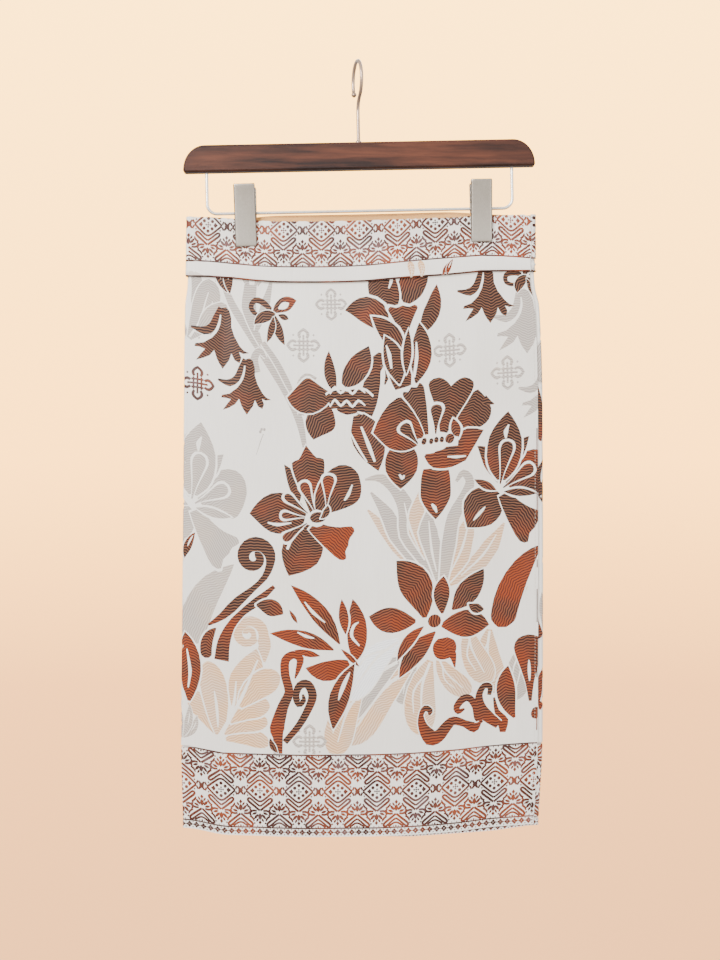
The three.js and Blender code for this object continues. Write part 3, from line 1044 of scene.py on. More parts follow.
def fan_flower() -> Drawing:
    """A large flower about 135 mm across, with a ruffled crown of fans and hanging shields."""
    flower = Drawing()
    flower.petal("shield", (1, -26), 270, 52, 31, tone=0.65, bow=0.3)
    flower.vein([(-3, -62), (0, -66), (2, -71)], [2, 4, 1.6])
    flower.petal("kite", (-33, 3), 268, 48, 33, tone=0.6)
    flower.vein([(-36, -30), (-33, -34), (-31, -31)], [2, 3.4, 1.6])
    flower.petal("kite", (33, 11), 74, 41, 34, skew=-0.15, tone=0.6)
    flower.stroke([(50, 40), (56, 36), (61, 34)], [9, 5, 1], tone=0.5, bow=0.2)
    flower.stroke([(-10, -12), (0, -17), (14, -16), (25, -9), (33, -6), (39, -9)],
                  [3, 17, 21, 27, 36, 42], tone=0.85, bow=0.1, rim=1.9)
    flower.vein([(13, -15), (22, -16), (32, -16)], [1.2, 3.0, 1.2])
    flower.petal("kite", (-14, 3), 168, 50, 54, skew=-0.4, bend=-0.06, tone=0.75)
    flower.petal("drop", (-17, 0), 128, 26, 12, rim=2.6, tone=0.3)
    flower.petal("fan", (-8, 9), 108, 52, 23, bend=-0.04, rim=2.3, tone=0.3)
    flower.petal("notched", (9, 10), 81, 56, 47, bend=-0.02, rim=2.3, tone=0.35)
    flower.petal("drop", (1, 9), 88, 30, 12, rim=2.8, tone=0.2)
    flower.petal("lance", (24, 3), 104, 21, 10, rim=2.2, tone=0.8)
    flower.vein([(-17, 0), (-4, 1), (10, 1), (24, 0)], [10, 12, 12, 9])
    for x, y, angle, length, width, tone in [
        (-12, -1, 70, 7, 5, 0.2), (-4, -1, 80, 6, 4.4, 0.2), (1.4, 0, 84, 6, 4.6, 0.2),
        (7, 0, 84, 6, 4.4, 0.2), (13, -1, 60, 10, 9, 0.8),
    ]:
        flower.petal("round", (x, y), angle, length, width, rim=0, tone=tone)
    return flower


def trumpet() -> Drawing:
    """A tall trumpet of long leaves, about 125 mm high, that opens upwards."""
    bloom = Drawing()
    bloom.petal("lance", (17, 4), 67, 56, 17, bend=-0.06, tone=0.3)
    bloom.petal("kite", (5, 38), 60, 50, 28, bend=0.06, tone=0.4)
    bloom.petal("kite", (-15, 27), 101, 56, 31, bend=-0.04, tone=0.35)
    bloom.vein([(-12, 54), (-9, 62), (-9, 72)], [1.6, 3.4, 2.0])
    bloom.petal("kite", (-20, 12), 152, 44, 27, bend=-0.16, skew=-0.3, tone=0.85, rim=2.2)
    bloom.petal("fan", (2, 2), 92, 34, 31, rim=3.0, tone=0.95)
    bloom.petal("lance", (0, -14), 128, 51, 20, bend=-0.06, rim=2.6, tone=0.75)
    bloom.petal("cup", (0, -48), 96, 36, 30, bend=0.04, tone=0.75)
    bloom.petal("lance", (13, -44), 86, 62, 22, bend=-0.06, rim=2.2, tone=0.4)
    bloom.vein([(11, -38), (14, -18), (14, -2)], [2.6, 3.6, 1.4])
    bloom.petal("lance", (-4, -44), 106, 52, 21, bend=-0.04, rim=2.0, tone=0.35)
    bloom.vein([(-12, -28), (-14, -14), (-17, -4)], [2.0, 4.0, 1.4])
    bloom.petal("lance", (3, -34), 86, 46, 9, rim=2.2, tone=0.3)
    return bloom


def half_flower() -> Drawing:
    """A flower seen from the side, about 90 mm wide, with waved edges at its heart."""
    bloom = Drawing()
    bloom.stroke([(20, -18), (27, -4), (31, 14), (33, 28), (40, 38), (47, 32), (47, 22), (44, 12)],
                 [22, 19, 17, 15, 15, 9, 5, 1.5], tone=0.35, bow=0.1)
    bloom.petal("lance", (14, -14), 291, 66, 33, bend=0.03, tone=0.4)
    bloom.vein([(20, -30), (28, -50), (34, -66)], [2.0, 4.0, 2.2])
    bloom.vein([(8, -34), (16, -50), (26, -66)], [1.2, 2.6, 1.4])
    bloom.petal("kite", (-12, -9), 244, 38, 30, bend=-0.1, skew=0.15, tone=0.35)
    bloom.petal("kite", (2, 12), 57, 48, 23, bend=-0.05, tone=0.4)
    bloom.petal("lance", (-6, 4), 99, 44, 12, bend=0.06, tone=0.3)
    bloom.petal("pointed", (-10, 2), 183, 46, 38, bend=0.1, skew=-0.3, tone=0.55)
    bloom.stroke([(-13, -5), (-4, -2), (6, -6), (17, -3), (27, -8)], [15, 20, 24, 24, 18],
                 tone=0.35, bow=0.1, rim=2.4)
    for rise in (6.5, -6.5):
        wave = [(-12, rise - 3), (-7, rise + 4), (-1, rise - 2), (5, rise + 3), (11, rise - 3),
                (17, rise + 3), (24, rise - 2)]
        bloom.vein(wave, [1.4, 2.6, 2.6, 2.6, 2.6, 2.6, 1.4])
    return bloom


def bell() -> Drawing:
    """A hanging bell about 57 mm long, with a curled neck and a mouth split into five."""
    bloom = Drawing()
    edge = [
        (-3, 19.6), (0.5, 20.6), (4, 18), (6, 11), (6.2, 2.5), (9, -6), (14, -15), (18, -19.4),
        (23, -21.6), (17.4, -22.4), (13.4, -20.6), (15.6, -26), (14, -31), (9.4, -28.4),
        (6.2, -22), (4.4, -28), (1.6, -32), (-2, -37), (-5.4, -32), (-7.6, -28), (-10, -20.8),
        (-14, -26.4), (-20, -30), (-27, -33), (-22.4, -26.4), (-18.6, -21.4), (-23, -20.4),
        (-28.6, -20.4), (-27.6, -17.6), (-20, -15.6), (-12, -9.6), (-6, -1), (-4, 10),
    ]
    bloom.cutout(edge, [(0, 20), (0, -8), (-2, -36)], tone=0.35)
    bloom.stroke([(-3.4, 19.4), (-7.4, 11), (-12, 0.6), (-20, -4.6), (-32, -2.4)],
                 [6, 6.4, 7.4, 7.6, 2], tone=0.35, bow=0.1)
    bloom.vein([(-4.2, 13), (-5.4, 5), (-8.6, -3), (-13, -8.6)], [1.2, 2.2, 2.6, 2])
    return bloom


def leaf_spray() -> Drawing:
    """A spray of eight leaves about 85 mm across, growing to the upper left."""
    spray = Drawing()
    spray.petal("kite", (-1, 0), 188, 44, 20, bend=0.1, skew=0.2, tone=0.95)
    spray.petal("lance", (-10, 18), 130, 78, 18, bend=-0.05, tone=0.95)
    spray.vein([(-25, 40), (-37, 50), (-46, 61)], [1.2, 3.4, 1.2])
    spray.petal("lance", (-16, 12), 166, 67, 17, bend=-0.05, tone=0.9)
    spray.vein([(-36, 24), (-44, 26), (-53, 30)], [1.2, 3.2, 1.2])
    spray.petal("lance", (-30, 6), 168, 27, 7, rim=1.0, tone=0.9)
    spray.petal("kite", (6, 2), 93, 62, 20, bend=-0.05, tone=0.9)
    spray.vein([(10, 16), (2, 26), (4, 36), (9, 40)], [1.6, 3.2, 3.0, 1.2])
    spray.petal("lance", (-4, 28), 97, 36, 10, tone=0.95)
    spray.petal("lance", (10, -5), 136, 26, 5, rim=1.0, tone=0.8)
    spray.petal("lance", (-53, 39), 122, 16, 4, rim=0.6, tone=0.8)
    return spray


def long_leaf() -> Drawing:
    """A narrow leaf about 68 mm long with an open middle."""
    return Drawing().petal("lance", (0, 0), 90, 68, 20, bend=0.06, slit=(0.42, 0.86, 4.2), tone=0.3)


def edge_leaf() -> Drawing:
    """A broad leaf about 72 mm long with one long slit."""
    leaf = Drawing().petal("pointed", (0, 0), 90, 72, 25, bend=-0.04, tone=0.9)
    return leaf.vein([(0, 14), (3, 32), (1, 54)], [1.4, 3.6, 1.4])


def blade(thread: Thread) -> Drawing:
    """A long plain blade with a short round foot, about 95 mm long."""
    return Drawing().petal("blade", (0, 0), 90, 95, 28, thread, bend=0.1, tone=0.7)


def star_flower() -> Drawing:
    """A flower of eight petals round a small disc, about 120 mm across."""
    star = Drawing()
    for x, y, angle, length, width, bend, tone, form in [
        (-19, 1, 172, 48, 27, 0.03, 0.5, "pointed"),
        (-10, 4, 116, 66, 34, -0.1, 0.65, "pointed"),
        (8, 7, 88, 38, 17, 0.04, 0.3, "pointed"),
        (18, 10, 50, 50, 24, -0.03, 0.45, "lance"),
        (7, -5, -5, 49, 29, 0.04, 0.85, "pointed"),
        (35, 14, -24, 17, 10, -0.1, 0.5, "pointed"),
    ]:
        star.petal(form, (x, y), angle, length, width, bend=bend, tone=tone)
    star.petal("round", (8, -18), 277, 22, 24, skew=0.1, tone=1.1)
    star.stroke([(13, -30), (18.6, -36), (21, -49)], [13, 8, 1], tone=1.1, bow=0.2)
    star.petal("lance", (1, -11), 231, 58, 19, bend=-0.05, tone=0.7)
    star.petal("lance", (-11, -5), 232, 43, 11, bend=-0.08, rim=1.6, tone=0.9)
    star.disc((0, 0), 9.0, Thread.GROUND, 12)
    star.disc((0, 0), 6.8, Thread.COPPER, 12, 0.2)
    return star


def petal_pair() -> Drawing:
    """Two tall petals that stand side by side, about 65 mm high."""
    pair = Drawing()
    pair.petal("drop", (6, -8), 92, 68, 30, slit=(0.3, 0.62, 3.2), tone=0.75, bow=0.2)
    pair.petal("pointed", (-10, -24), 97, 54, 20, bend=0.1, tone=0.85)
    pair.petal("pointed", (16, -6), 62, 24, 12, tone=0.8)
    pair.petal("round", (10, -26), 75, 12, 9, tone=0.9)
    return pair


def scroll_pair() -> Drawing:
    """Two stems that rise from one foot and curl over, about 105 mm high."""
    pair = Drawing()
    pair.stroke([(-4, -34), (10, -17), (20, 1), (24, 14), (19, 25), (11, 24), (7, 14), (10, 5),
                 (15, 9), (14, 15)], [6, 7, 8, 9, 9, 8, 7, 7, 5, 2], tone=0.5, bow=0.2)
    pair.stroke([(-11, -46), (-11, -30), (-12, -20), (-6, 2), (0, 17), (-4, 34), (-4, 49),
                 (4, 55), (11, 51), (9, 40), (6, 31)], [9, 10, 15, 11, 9, 9, 9, 8, 8, 5, 1.5],
                tone=0.95, bow=0.2)
    pair.petal("lance", (-11, -45), 118, 17, 6, bend=0.1, rim=0.9, tone=0.4)
    return pair


def scroll_run() -> Drawing:
    """Four short scrolls that grow along the ground from one root, about 90 mm wide."""
    run = Drawing()
    run.stroke([(34, 17), (37, 3), (43, -8), (43, -19)], [2, 5, 12, 6], tone=0.7, bow=0.2)
    run.stroke([(29, 20), (30, 28), (24, 30), (19, 22), (20, 10), (27, -1), (39, -11)],
               [4, 6, 6, 7, 10, 12, 9], tone=0.5, bow=0.2, rim=1.0)
    run.stroke([(4, 9), (-2, 7), (-4, 12), (2, 19), (9, 19), (15, 10), (17, -1), (21, -8)],
               [2, 6, 7, 8, 7, 7, 7, 5], tone=0.6, bow=0.2)
    run.stroke([(-32, 6), (-31, 10), (-36, 13), (-40, 6), (-38, -6), (-30, -17), (-22, -16),
                (-14, -7), (-7, -2), (4, -6), (14, -11), (20, -7)],
               [3, 6, 6, 5, 10, 17, 13, 11, 9, 7, 11, 3], tone=0.8, bow=0.2, rim=1.0)
    return run


def curled_stem() -> Drawing:
    """A long stem that ends in a tight curl, with a second blade and a leaf beside it."""
    stem = Drawing()
    curl = spiral((9.5, 46), 17.5, 3.0, -24, 1.3)
    route = [(-37, -26), (-22, -14), (-6, 2), (8, 14), (20, 26)] + [tuple(p) for p in curl]
    stem.stroke(route, [2, 11, 5, 8, 13, 15, 13, 11, 10, 9, 8, 6], tone=0.35, bow=0.3, steps=2)
    stem.stroke([(-23, -60), (-21, -42), (-14, -24), (-2, -10), (12, 1), (30, 17)],
                [15, 13, 9, 7, 9, 4], tone=0.6, bow=0.15, rim=1.2)
    stem.petal("pointed", (12, -2), -18, 29, 18, bend=0.08, tone=0.6)
    stem.petal("blade", (-38, -60), 74, 34, 12, bend=0.14, tone=0.45)
    return stem


def rosette() -> Drawing:
    """A small diamond of four pointed petals woven through a lattice, with dots round it."""
    mark = Drawing()
    for k in range(4):
        angle = 90 * k
        mark.petal("pointed", tuple(polar(angle, 3.2)), angle, 14.6, 13.0, Thread.BORDER, rim=0)
        mark.petal("pointed", tuple(polar(angle, 6.4)), angle, 8.2, 6.4, Thread.GROUND, rim=0)
        mark.disc(polar(angle, 9.6), 1.4, Thread.BORDER, 4)
    mark.disc((0, 0), 10.4, Thread.GROUND, 4)
    for offset in (-4.1, 0.0, 4.1):
        reach = 10.4 - abs(offset)
        for ends in ([(-reach, offset), (reach, offset)], [(offset, -reach), (offset, reach)]):
            mark.line(ends, [2.0, 2.0], 1)
    for k in range(4):
        mark.disc(polar(45 + 90 * k, 14.8), 1.3, Thread.BORDER, 4)
    return mark


def veined_leaf() -> Drawing:
    """A big lobed leaf about 125 mm high, with a curled head and bare veins."""
    leaf = Drawing()
    peach = Thread.PEACH
    head = [tuple(p) for p in spiral((32, 104), 15, 3, -10, 1.5)]
    leaf.petal("broad", (4, -2), 132, 50, 24, peach, bend=-0.1, rim=1.8, tone=0.6)
    leaf.petal("broad", (10, -4), -6, 44, 17, peach, bend=0.12, rim=1.8, tone=0.6)
    leaf.petal("broad", (8, 2), 14, 46, 20, peach, bend=0.14, rim=1.8, tone=0.5)
    leaf.petal("broad", (14, 14), 22, 44, 22, peach, bend=0.14, rim=1.8, tone=0.5)
    leaf.petal("broad", (2, 0), 99, 74, 27, peach, bend=-0.04, slit=(0.1, 0.6, 3.0), rim=1.8,
               tone=0.55)
    leaf.stroke([(44, 78), (49, 92)] + head, [12, 13, 12, 10, 9, 8, 8, 7, 6, 5], peach, bow=0.1,
                steps=2)
    leaf.petal("lance", (17, 28), 69, 66, 34, peach, bend=-0.03, rim=1.8, tone=0.6)
    leaf.petal("broad", (24, 30), 38, 52, 26, peach, bend=0.1, rim=1.8, tone=0.6)
    leaf.vein([(2, -4), (12, 14), (26, 40), (42, 78)], [5, 4, 3.4, 1.6])
    leaf.vein([(12, 14), (18, 34), (20, 56)], [3.2, 3, 1.2])
    return leaf


def swept_leaf(thread: Thread) -> Drawing:
    """A long leaf with two bare veins, about 80 mm long."""
    leaf = Drawing()
    leaf.petal("broad", (0, 0), 90, 82, 34, thread, bend=-0.1, rim=1.4, tone=0.5)
    leaf.vein([(0, 2), (7, 28), (5, 66)], [3.2, 2.8, 1.2])
    leaf.vein([(3, 14), (16, 34), (14, 58)], [2.4, 2.2, 1.0])
    return leaf


def plume(thread: Thread) -> Drawing:
    """A plume of five narrow blades that leave one foot, about 85 mm high."""
    blades = Drawing()
    for angle, length, width, bend in [
        (128, 56, 15, 0.14), (52, 58, 16, -0.14), (108, 74, 17, 0.08), (72, 72, 17, -0.08),
        (90, 84, 18, 0.03),
    ]:
        blades.petal("lance", (0, 0), angle, length, width, thread, bend=bend, rim=1.5,
                     slit=(0.4, 0.78, 1.8), tone=0.5)
    return blades


def great_plume() -> Drawing:
    """A wide plume of silver and peach flames that leave one foot, about 115 mm high."""
    flames = Drawing()
    silver, peach = Thread.SILVER, Thread.PEACH
    for thread, points, widths in [
        (peach, [(-6, 4), (-24, 22), (-42, 42), (-56, 60), (-73, 80)], [5, 13, 15, 12, 2]),
        (silver, [(-3, 6), (-22, 26), (-43, 54), (-54, 76), (-70, 98)], [6, 14, 17, 13, 2]),
        (silver, [(0, 4), (-16, 30), (-31, 54), (-34, 80), (-45, 100), (-60, 112), (-76, 111)],
         [6, 15, 19, 17, 12, 9, 2]),
        (peach, [(-12, 28), (-23, 56), (-23, 76), (-16, 105)], [5, 16, 15, 2]),
        (peach, [(10, 0), (36, 16), (53, 36), (66, 57)], [5, 19, 17, 2]),
        (silver, [(0, 4), (-5, 32), (-12, 56), (-10, 80)], [7, 17, 19, 3]),
        (peach, [(7, 4), (21, 26), (26, 50), (36, 75)], [7, 18, 19, 3]),
        (silver, [(4, 4), (9, 40), (14, 68), (26, 88), (31, 103), (24, 112), (17, 104)],
         [8, 14, 13, 12, 9, 7, 3]),
    ]:
        flames.stroke(points, widths, thread, rim=1.8, bow=0.3)
    for vein in [[(-3, 14), (-8, 36), (-11, 66)], [(11, 12), (23, 36), (30, 62)],
                 [(-20, 36), (-30, 60), (-36, 86)], [(22, 8), (44, 26), (58, 46)]]:
        flames.vein(vein, [1.2, 2.6, 1.0])
    return flames


def branch() -> Drawing:
    """A forked silver branch about 160 mm long, with curled buds."""
    twig = Drawing()
    silver = Thread.SILVER
    twig.stroke([(-34, 84), (-22, 58), (-6, 30), (10, 0), (26, -30), (36, -58), (40, -88)],
                [6, 8, 9, 8, 9, 8, 4], silver, bow=0.1)
    twig.stroke([(-6, 84), (-8, 62), (-4, 40), (2, 22)], [13, 15, 9, 4], silver, bow=0.2, rim=1.2)
    twig.stroke([(16, 86), (10, 66), (4, 50), (-2, 36)], [3, 9, 8, 4], silver, bow=0.2, rim=1.2)
    twig.stroke([(4, 24), (16, 4), (26, -18), (32, -34)], [5, 6, 6, 3], silver, bow=0.1, rim=1.2)
    twig.stroke([(-4, -6), (-6, 8), (0, 16), (6, 8)], [7, 8, 7, 2], silver, bow=0.1, rim=1.0)
    twig.stroke([(38, -52), (42, -34), (40, -22), (46, -12), (56, -16)], [6, 12, 10, 5, 3], silver,
                bow=0.2, rim=1.0)
    twig.petal("kite", (-34, 66), 226, 44, 24, silver, bend=0.1, rim=1.2)
    return twig


def sprig() -> Drawing:
    """A small bow of looped leaves about 42 mm across."""
    bow = Drawing()
    bow.stroke([(0, 0), (-9, 9), (-18, 12), (-22, 5), (-16, -2), (-8, 1)], [4, 6, 6, 5, 4, 1.5],
               tone=0.3, bow=0.1)
    bow.petal("pointed", (0, 0), 28, 26, 15, bend=0.08, tone=0.7)
    bow.petal("pointed", (5, 4), 28, 12, 7, Thread.GROUND, rim=0)
    bow.petal("kite", (2, -2), 205, 23, 11, bend=-0.12, tone=0.25, rim=0.8)
    bow.petal("lance", (2, -3), 288, 30, 9, bend=-0.05, tone=0.25, rim=0.8)
    bow.petal("lance", (0, -4), 256, 26, 7, bend=0.05, tone=0.25, rim=0.8)
    bow.petal("pointed", (5, -2), 338, 11, 6, tone=0.2, rim=0.8)
    return bow


def pin() -> Drawing:
    """A fine silver stalk with a three-lobed head, about 26 mm long."""
    stalk = Drawing()
    stalk.stroke([(-5, -17), (-1, -4), (2, 4)], [0.5, 0.9, 0.9], Thread.SILVER, steps=2)
    for angle in (55, 120, 185):
        stalk.disc(np.array([1.5, 6.5]) + polar(angle, 2.6), 1.7, Thread.SILVER, 6)
    return stalk


def wisp() -> Drawing:
    """Three broad silver wisps, about 60 mm long."""
    strands = Drawing()
    for x, bend, length in [(-9, 0.1, 52), (0, -0.08, 62), (9, 0.06, 48)]:
        strands.petal("lance", (x / 3, 0), 90 - x * 2.2, length, 11, Thread.SILVER, bend=bend)
    return strands


# ---- The border, repeated along the hem and the waist ----


@dataclass(frozen=True)
class Border:
    """A border of ogee lozenges, chevrons and sprays, mirrored about its lozenge row."""

    repeat: float = 40.0
    lozenge_row: float = 37.2
    band: float = 74.4
    line: float = 1.5
    strip_pitch: float = 7.3

    def lozenge(self) -> Drawing:
        """The ogee lozenge on the row, with the star between it and the next."""
        mark = Drawing()
        half = [(-14.4, 0), (-9.8, 4.2), (-5.4, 8.0), (-2.4, 10.2), (0, 10.8)]
        for flip in (1, -1):
            arch = [(x, y * flip) for x, y in half]
            arch += [(-x, y * flip) for x, y in half[-2::-1]]
            mark.line(arch, [2.2] * 5)
        for x, y in [(-2.1, 0), (2.1, 0), (0, 2.1), (0, -2.1), (0, 0)]:
            mark.disc((x, y), 1.15, Thread.BORDER, 4)
        for x, y in [(0, 6.4), (0, -6.4), (4.3, 3.7), (-4.3, 3.7), (4.3, -3.7), (-4.3, -3.7)]:
            mark.disc((x, y), 1.9, Thread.BORDER, 6)
        for side in (-1, 1):
            mark.polygon([(side * 5.6, 0), (side * 7.2, 2.9), (side * 10.4, 0), (side * 7.2, -2.9)],
                         Thread.BORDER)
            for up in (-1, 1):
                mark.line([(side * 15.0, up * 1.2), (side * 16.4, up * 4.6)], [2.0, 1.7], 1)
                mark.disc((side * 12.8, up * 4.8), 1.1, Thread.BORDER, 4)
                mark.line([(20, 0), (20 - side * 2.9, up * 4.2)], [3.2, 1.7], 1)
        mark.polygon([(17.2, 0), (20, 2.4), (22.8, 0), (20, -2.4)], Thread.BORDER)
        return mark

    def spray(self) -> Drawing:
        """The leafy chevron over a lozenge and the spray that stands on it, up to the line."""
        mark = Drawing()
        for side in (-1, 1):
            for route, widths in [
                ([(0.2, 20.2), (5.6, 15.8), (11.4, 11.2), (12.6, 8.8), (10.8, 7.6), (8.0, 9.4),
                  (4.2, 12.8), (0, 15.8)], [2.3, 2.5, 2.5, 2.4, 2.2, 2.1, 2.1]),
                ([(9.4, 17.8), (12.2, 16.0), (14.0, 12.6)], [2.0, 2.3, 1.5]),
                ([(3.2, 20.6), (6.4, 20.2), (9.4, 21.4), (10.2, 24.2), (8.6, 25.4)],
                 [2.0, 2.3, 2.3, 2.1, 1.5]),
            ]:
                mark.line([(side * x, y) for x, y in route], widths)
            for x, y, angle, length, width in [
                (1.7, 23.6, 50, 7.4, 2.9), (2.9, 22.2, 20, 6.0, 2.7), (1.6, 28.0, 58, 4.6, 2.2),
            ]:
                turned = angle if side > 0 else 180 - angle
                mark.petal("lance", (side * x, y), turned, length, width, Thread.BORDER, rim=0)
        mark.petal("lance", (0, 22.8), 90, 7.2, 4.2, Thread.BORDER, rim=0)
        mark.polygon([(-1.8, 32.2), (0, 34.6), (1.8, 32.2), (0, 29.8)], Thread.BORDER)
        return mark

    def half(self) -> Drawing:
        """One repeat of the border from its lozenge row up to the line."""
        whole, spray = Drawing(), self.spray()
        whole.patches += spray.placed()
        whole.patches += spray.placed((20, 43.6), 180)
        arch = [(12.6, 36.2), (15.6, 34.0), (18.0, 32.6), (20, 32.2), (22.0, 32.6), (24.4, 34.0),
                (27.4, 36.2)]
        whole.line(arch, [2.0] * 7)
        whole.disc((20, 35.6), 1.2, Thread.BORDER, 4)
        for x in np.arange(-20, 20, 5.0):
            whole.disc((x + 2.5, 35.8), 0.7, Thread.BORDER, 4)
        for x in (-5.6, 5.6):
            whole.disc((x, 33.0), 1.2, Thread.BORDER, 4)
        return whole

    def rows(
        self, start: float, end: float, low: float, phase: float, only_lower: bool = False
    ) -> list[Patch]:
        """Repeats the border along the cloth.

        Args:
            start: where the cloth starts.
            end: where it ends.
            low: height of the border's lower line.
            phase: where a lozenge's middle lies.
            only_lower: whether only what lies below the row of lozenges and just over it is drawn.

        Returns:
            The patches.
        """
        patches: list[Patch] = []
        lozenge, half = self.lozenge(), self.half()
        first = math.floor((start - phase) / self.repeat)
        for k in range(first, math.ceil((end - phase) / self.repeat) + 1):
            tone = 0.5 + 0.35 * math.sin(1.9 * k)
            at = (k * self.repeat + phase, low + self.lozenge_row)
            patches += lozenge.placed(at, tone=tone - 0.5)
            patches += half.placed(at, 180, mirror=True, tone=tone - 0.5)
            patches += half.placed(at, tone=tone - 0.5)
        kept = [p for p in patches if start < p.outline[:, 0].mean() < end]
        if only_lower:
            top = low + self.lozenge_row + 27
            kept = [p for p in kept if p.outline[:, 1].max() < top]
        return kept

    def lines(self, start: float, end: float, heights: Sequence[float]) -> list[Patch]:
        """Draws the border's lines.

        Args:
            start: where the cloth starts.
            end: where it ends.
            heights: the lines' heights.

        Returns:
            The patches.
        """
        drawing = Drawing()
        run = np.arange(start + 0.4, end - 0.2, 24.0)
        for height in heights:
            axis = np.array([(s, height) for s in [*run, end - 0.4]])
            shape = band_outline(axis, np.full(len(axis), self.line))
            drawing.patches.append(Patch(anticlockwise(shape), Thread.BORDER, axis, 0, 0.15))
        return drawing.placed()

    def strip(self, start: float, end: float, middle: float) -> list[Patch]:
        """Draws the narrow strip of dotted diamonds along the hem.

        Args:
            start: where the cloth starts.
            end: where it ends.
            middle: the strip's height.

        Returns:
            The patches.
        """
        drawing = Drawing()
        for s in np.arange(start + 3, end - 3, self.strip_pitch):
            for x, y in ((0, 1.7), (0, -1.7), (1.7, 0), (-1.7, 0)):
                drawing.disc((s + x, middle + y), 1.65, Thread.BORDER, 4, 0.4)
            for y in (2.6, 0.0, -2.6):
                drawing.disc((s + self.strip_pitch / 2, middle + y), 0.75, Thread.BORDER, 4, 0.3)
        return drawing.placed()


# ---- The layout of the field ----

SILVERED = {Thread.COPPER: Thread.SILVER, Thread.PEACH: Thread.SILVER, Thread.BORDER: Thread.SILVER}


@dataclass(frozen=True)
class Motif:
    """A drawing's place on the cloth: length and height, turn, size, and the threads it is in."""

    draw: Callable[[], Drawing]
    s: float
    height: float
    turn: float = 0.0
    size: float = 1.0
    threads: Union[dict[Thread, Thread], None] = None
    tone: float = 0.0


PEACH_LEAF, SILVER_LEAF, HIGHLIGHT_LEAF = (
    partial(swept_leaf, thread) for thread in (Thread.PEACH, Thread.SILVER, Thread.PAINTED_HIGHLIGHT)
)
COPPER_BLADE, SILVER_BLADE = (partial(blade, thread) for thread in (Thread.COPPER, Thread.SILVER))
SILVER_PLUME = partial(plume, Thread.SILVER)
FIELD = [
    Motif(wisp, 12, 500, 6, 1.35),
    Motif(SILVER_LEAF, 6, 500, -16, 0.8),
    Motif(wisp, 70, 556, -12, 0.8),
    Motif(branch, 80, 478, 4, 1.0),
    Motif(SILVER_BLADE, 9, 188, -27, 1.04),
    Motif(side_lily, 10, 332, 0, 1.08, threads=SILVERED),
    Motif(great_plume, 263, 252, 0, 1.0),
    Motif(PEACH_LEAF, 314, 202, 190, 0.8),
    Motif(PEACH_LEAF, 292, 206, 204, 0.76),
    Motif(PEACH_LEAF, 262, 178, 222, 0.62),
    Motif(SILVER_LEAF, 240, 184, 166, 0.64),
    Motif(PEACH_LEAF, 254, 176, 176, 0.92),
    Motif(SILVER_LEAF, 232, 168, 128, 0.5),
    Motif(PEACH_LEAF, 233, 170, 142, 1.2),
    Motif(SILVER_LEAF, 222, 178, 136, 1.1),
    Motif(PEACH_LEAF, 184, 148, 160, 0.86),
    # a silver leaf painted nearly white: its painted specular highlight
    Motif(HIGHLIGHT_LEAF, 222, 198, 140, 0.94),
    Motif(SILVER_LEAF, 362, 190, 162, 0.8),
    Motif(PEACH_LEAF, 352, 244, 150, 0.5),
    Motif(veined_leaf, 37, 101, 0, 1.0),
    Motif(SILVER_PLUME, 2, 92, 6, 0.5),
    Motif(rosette, 124, 500, 0, 1.0, threads=SILVERED),
    Motif(rosette, 153, 542, 0, 0.95, threads=SILVERED),
    Motif(rosette, 274, 490, 0, 1.0, threads=SILVERED),
    Motif(rosette, 333, 462, 0, 1.0, threads=SILVERED),
    Motif(rosette, 132, 97, 0, 1.0, threads=SILVERED),
    Motif(rosette, 15, 455, 0, 1.0, tone=-0.9),
    Motif(pin, 81, 405),
    Motif(bell, 356, 523, 0, 1.15, threads=SILVERED),
    Motif(bell, 376, 448, 0, 1.0, threads=SILVERED),
    Motif(bell, 43, 515, 0, 1.1),
    Motif(bell, 68, 465.5, 0, 1.0),
    Motif(sprig, 93, 533, 0, 1.05),
    Motif(long_leaf, 44, 553, 22, 0.5, tone=0.3),
    Motif(long_leaf, 47, 552, 2, 0.5, tone=0.3),
    Motif(bell, 319, 552, 0, 1.04),
    Motif(half_flower, 163, 447, 0, 1.0),
    Motif(trumpet, 226, 503, 0, 1.0),
    Motif(fan_flower, 258, 397, 0, 1.0),
    Motif(open_lily, 132, 322, 0, 1.0),
    Motif(side_lily, 325, 345, 0, 1.0),
    Motif(star_flower, 258, 216, 0, 1.0),
    Motif(leaf_spray, 172, 178, 0, 1.0),
    Motif(long_leaf, 156, 110, -18, 1.02),
    Motif(curled_stem, 65, 237, 0, 1.0),
    Motif(scroll_pair, 111, 130, 0, 1.0),
    Motif(scroll_run, 285, 115, 0, 1.0),
    Motif(petal_pair, 350, 134, 0, 1.0),
    Motif(COPPER_BLADE, 327, 203, -26, 0.96, tone=0.2),
    Motif(edge_leaf, 9, 130, 4, 0.98),
    Motif(long_leaf, 3, 276, -22, 0.42),
    Motif(sprig, 358, 560, 30, 0.9, tone=0.2),
    Motif(long_leaf, -373, 392, 4, 0.9, tone=0.2),
    Motif(long_leaf, -372, 330, -6, 0.7, tone=0.3),
    Motif(COPPER_BLADE, -376, 190, 6, 0.8, tone=0.3),
    Motif(edge_leaf, -374, 118, -4, 0.6, tone=0.2),
]
SWAPPED = {Thread.COPPER: Thread.SILVER, Thread.SILVER: Thread.COPPER}


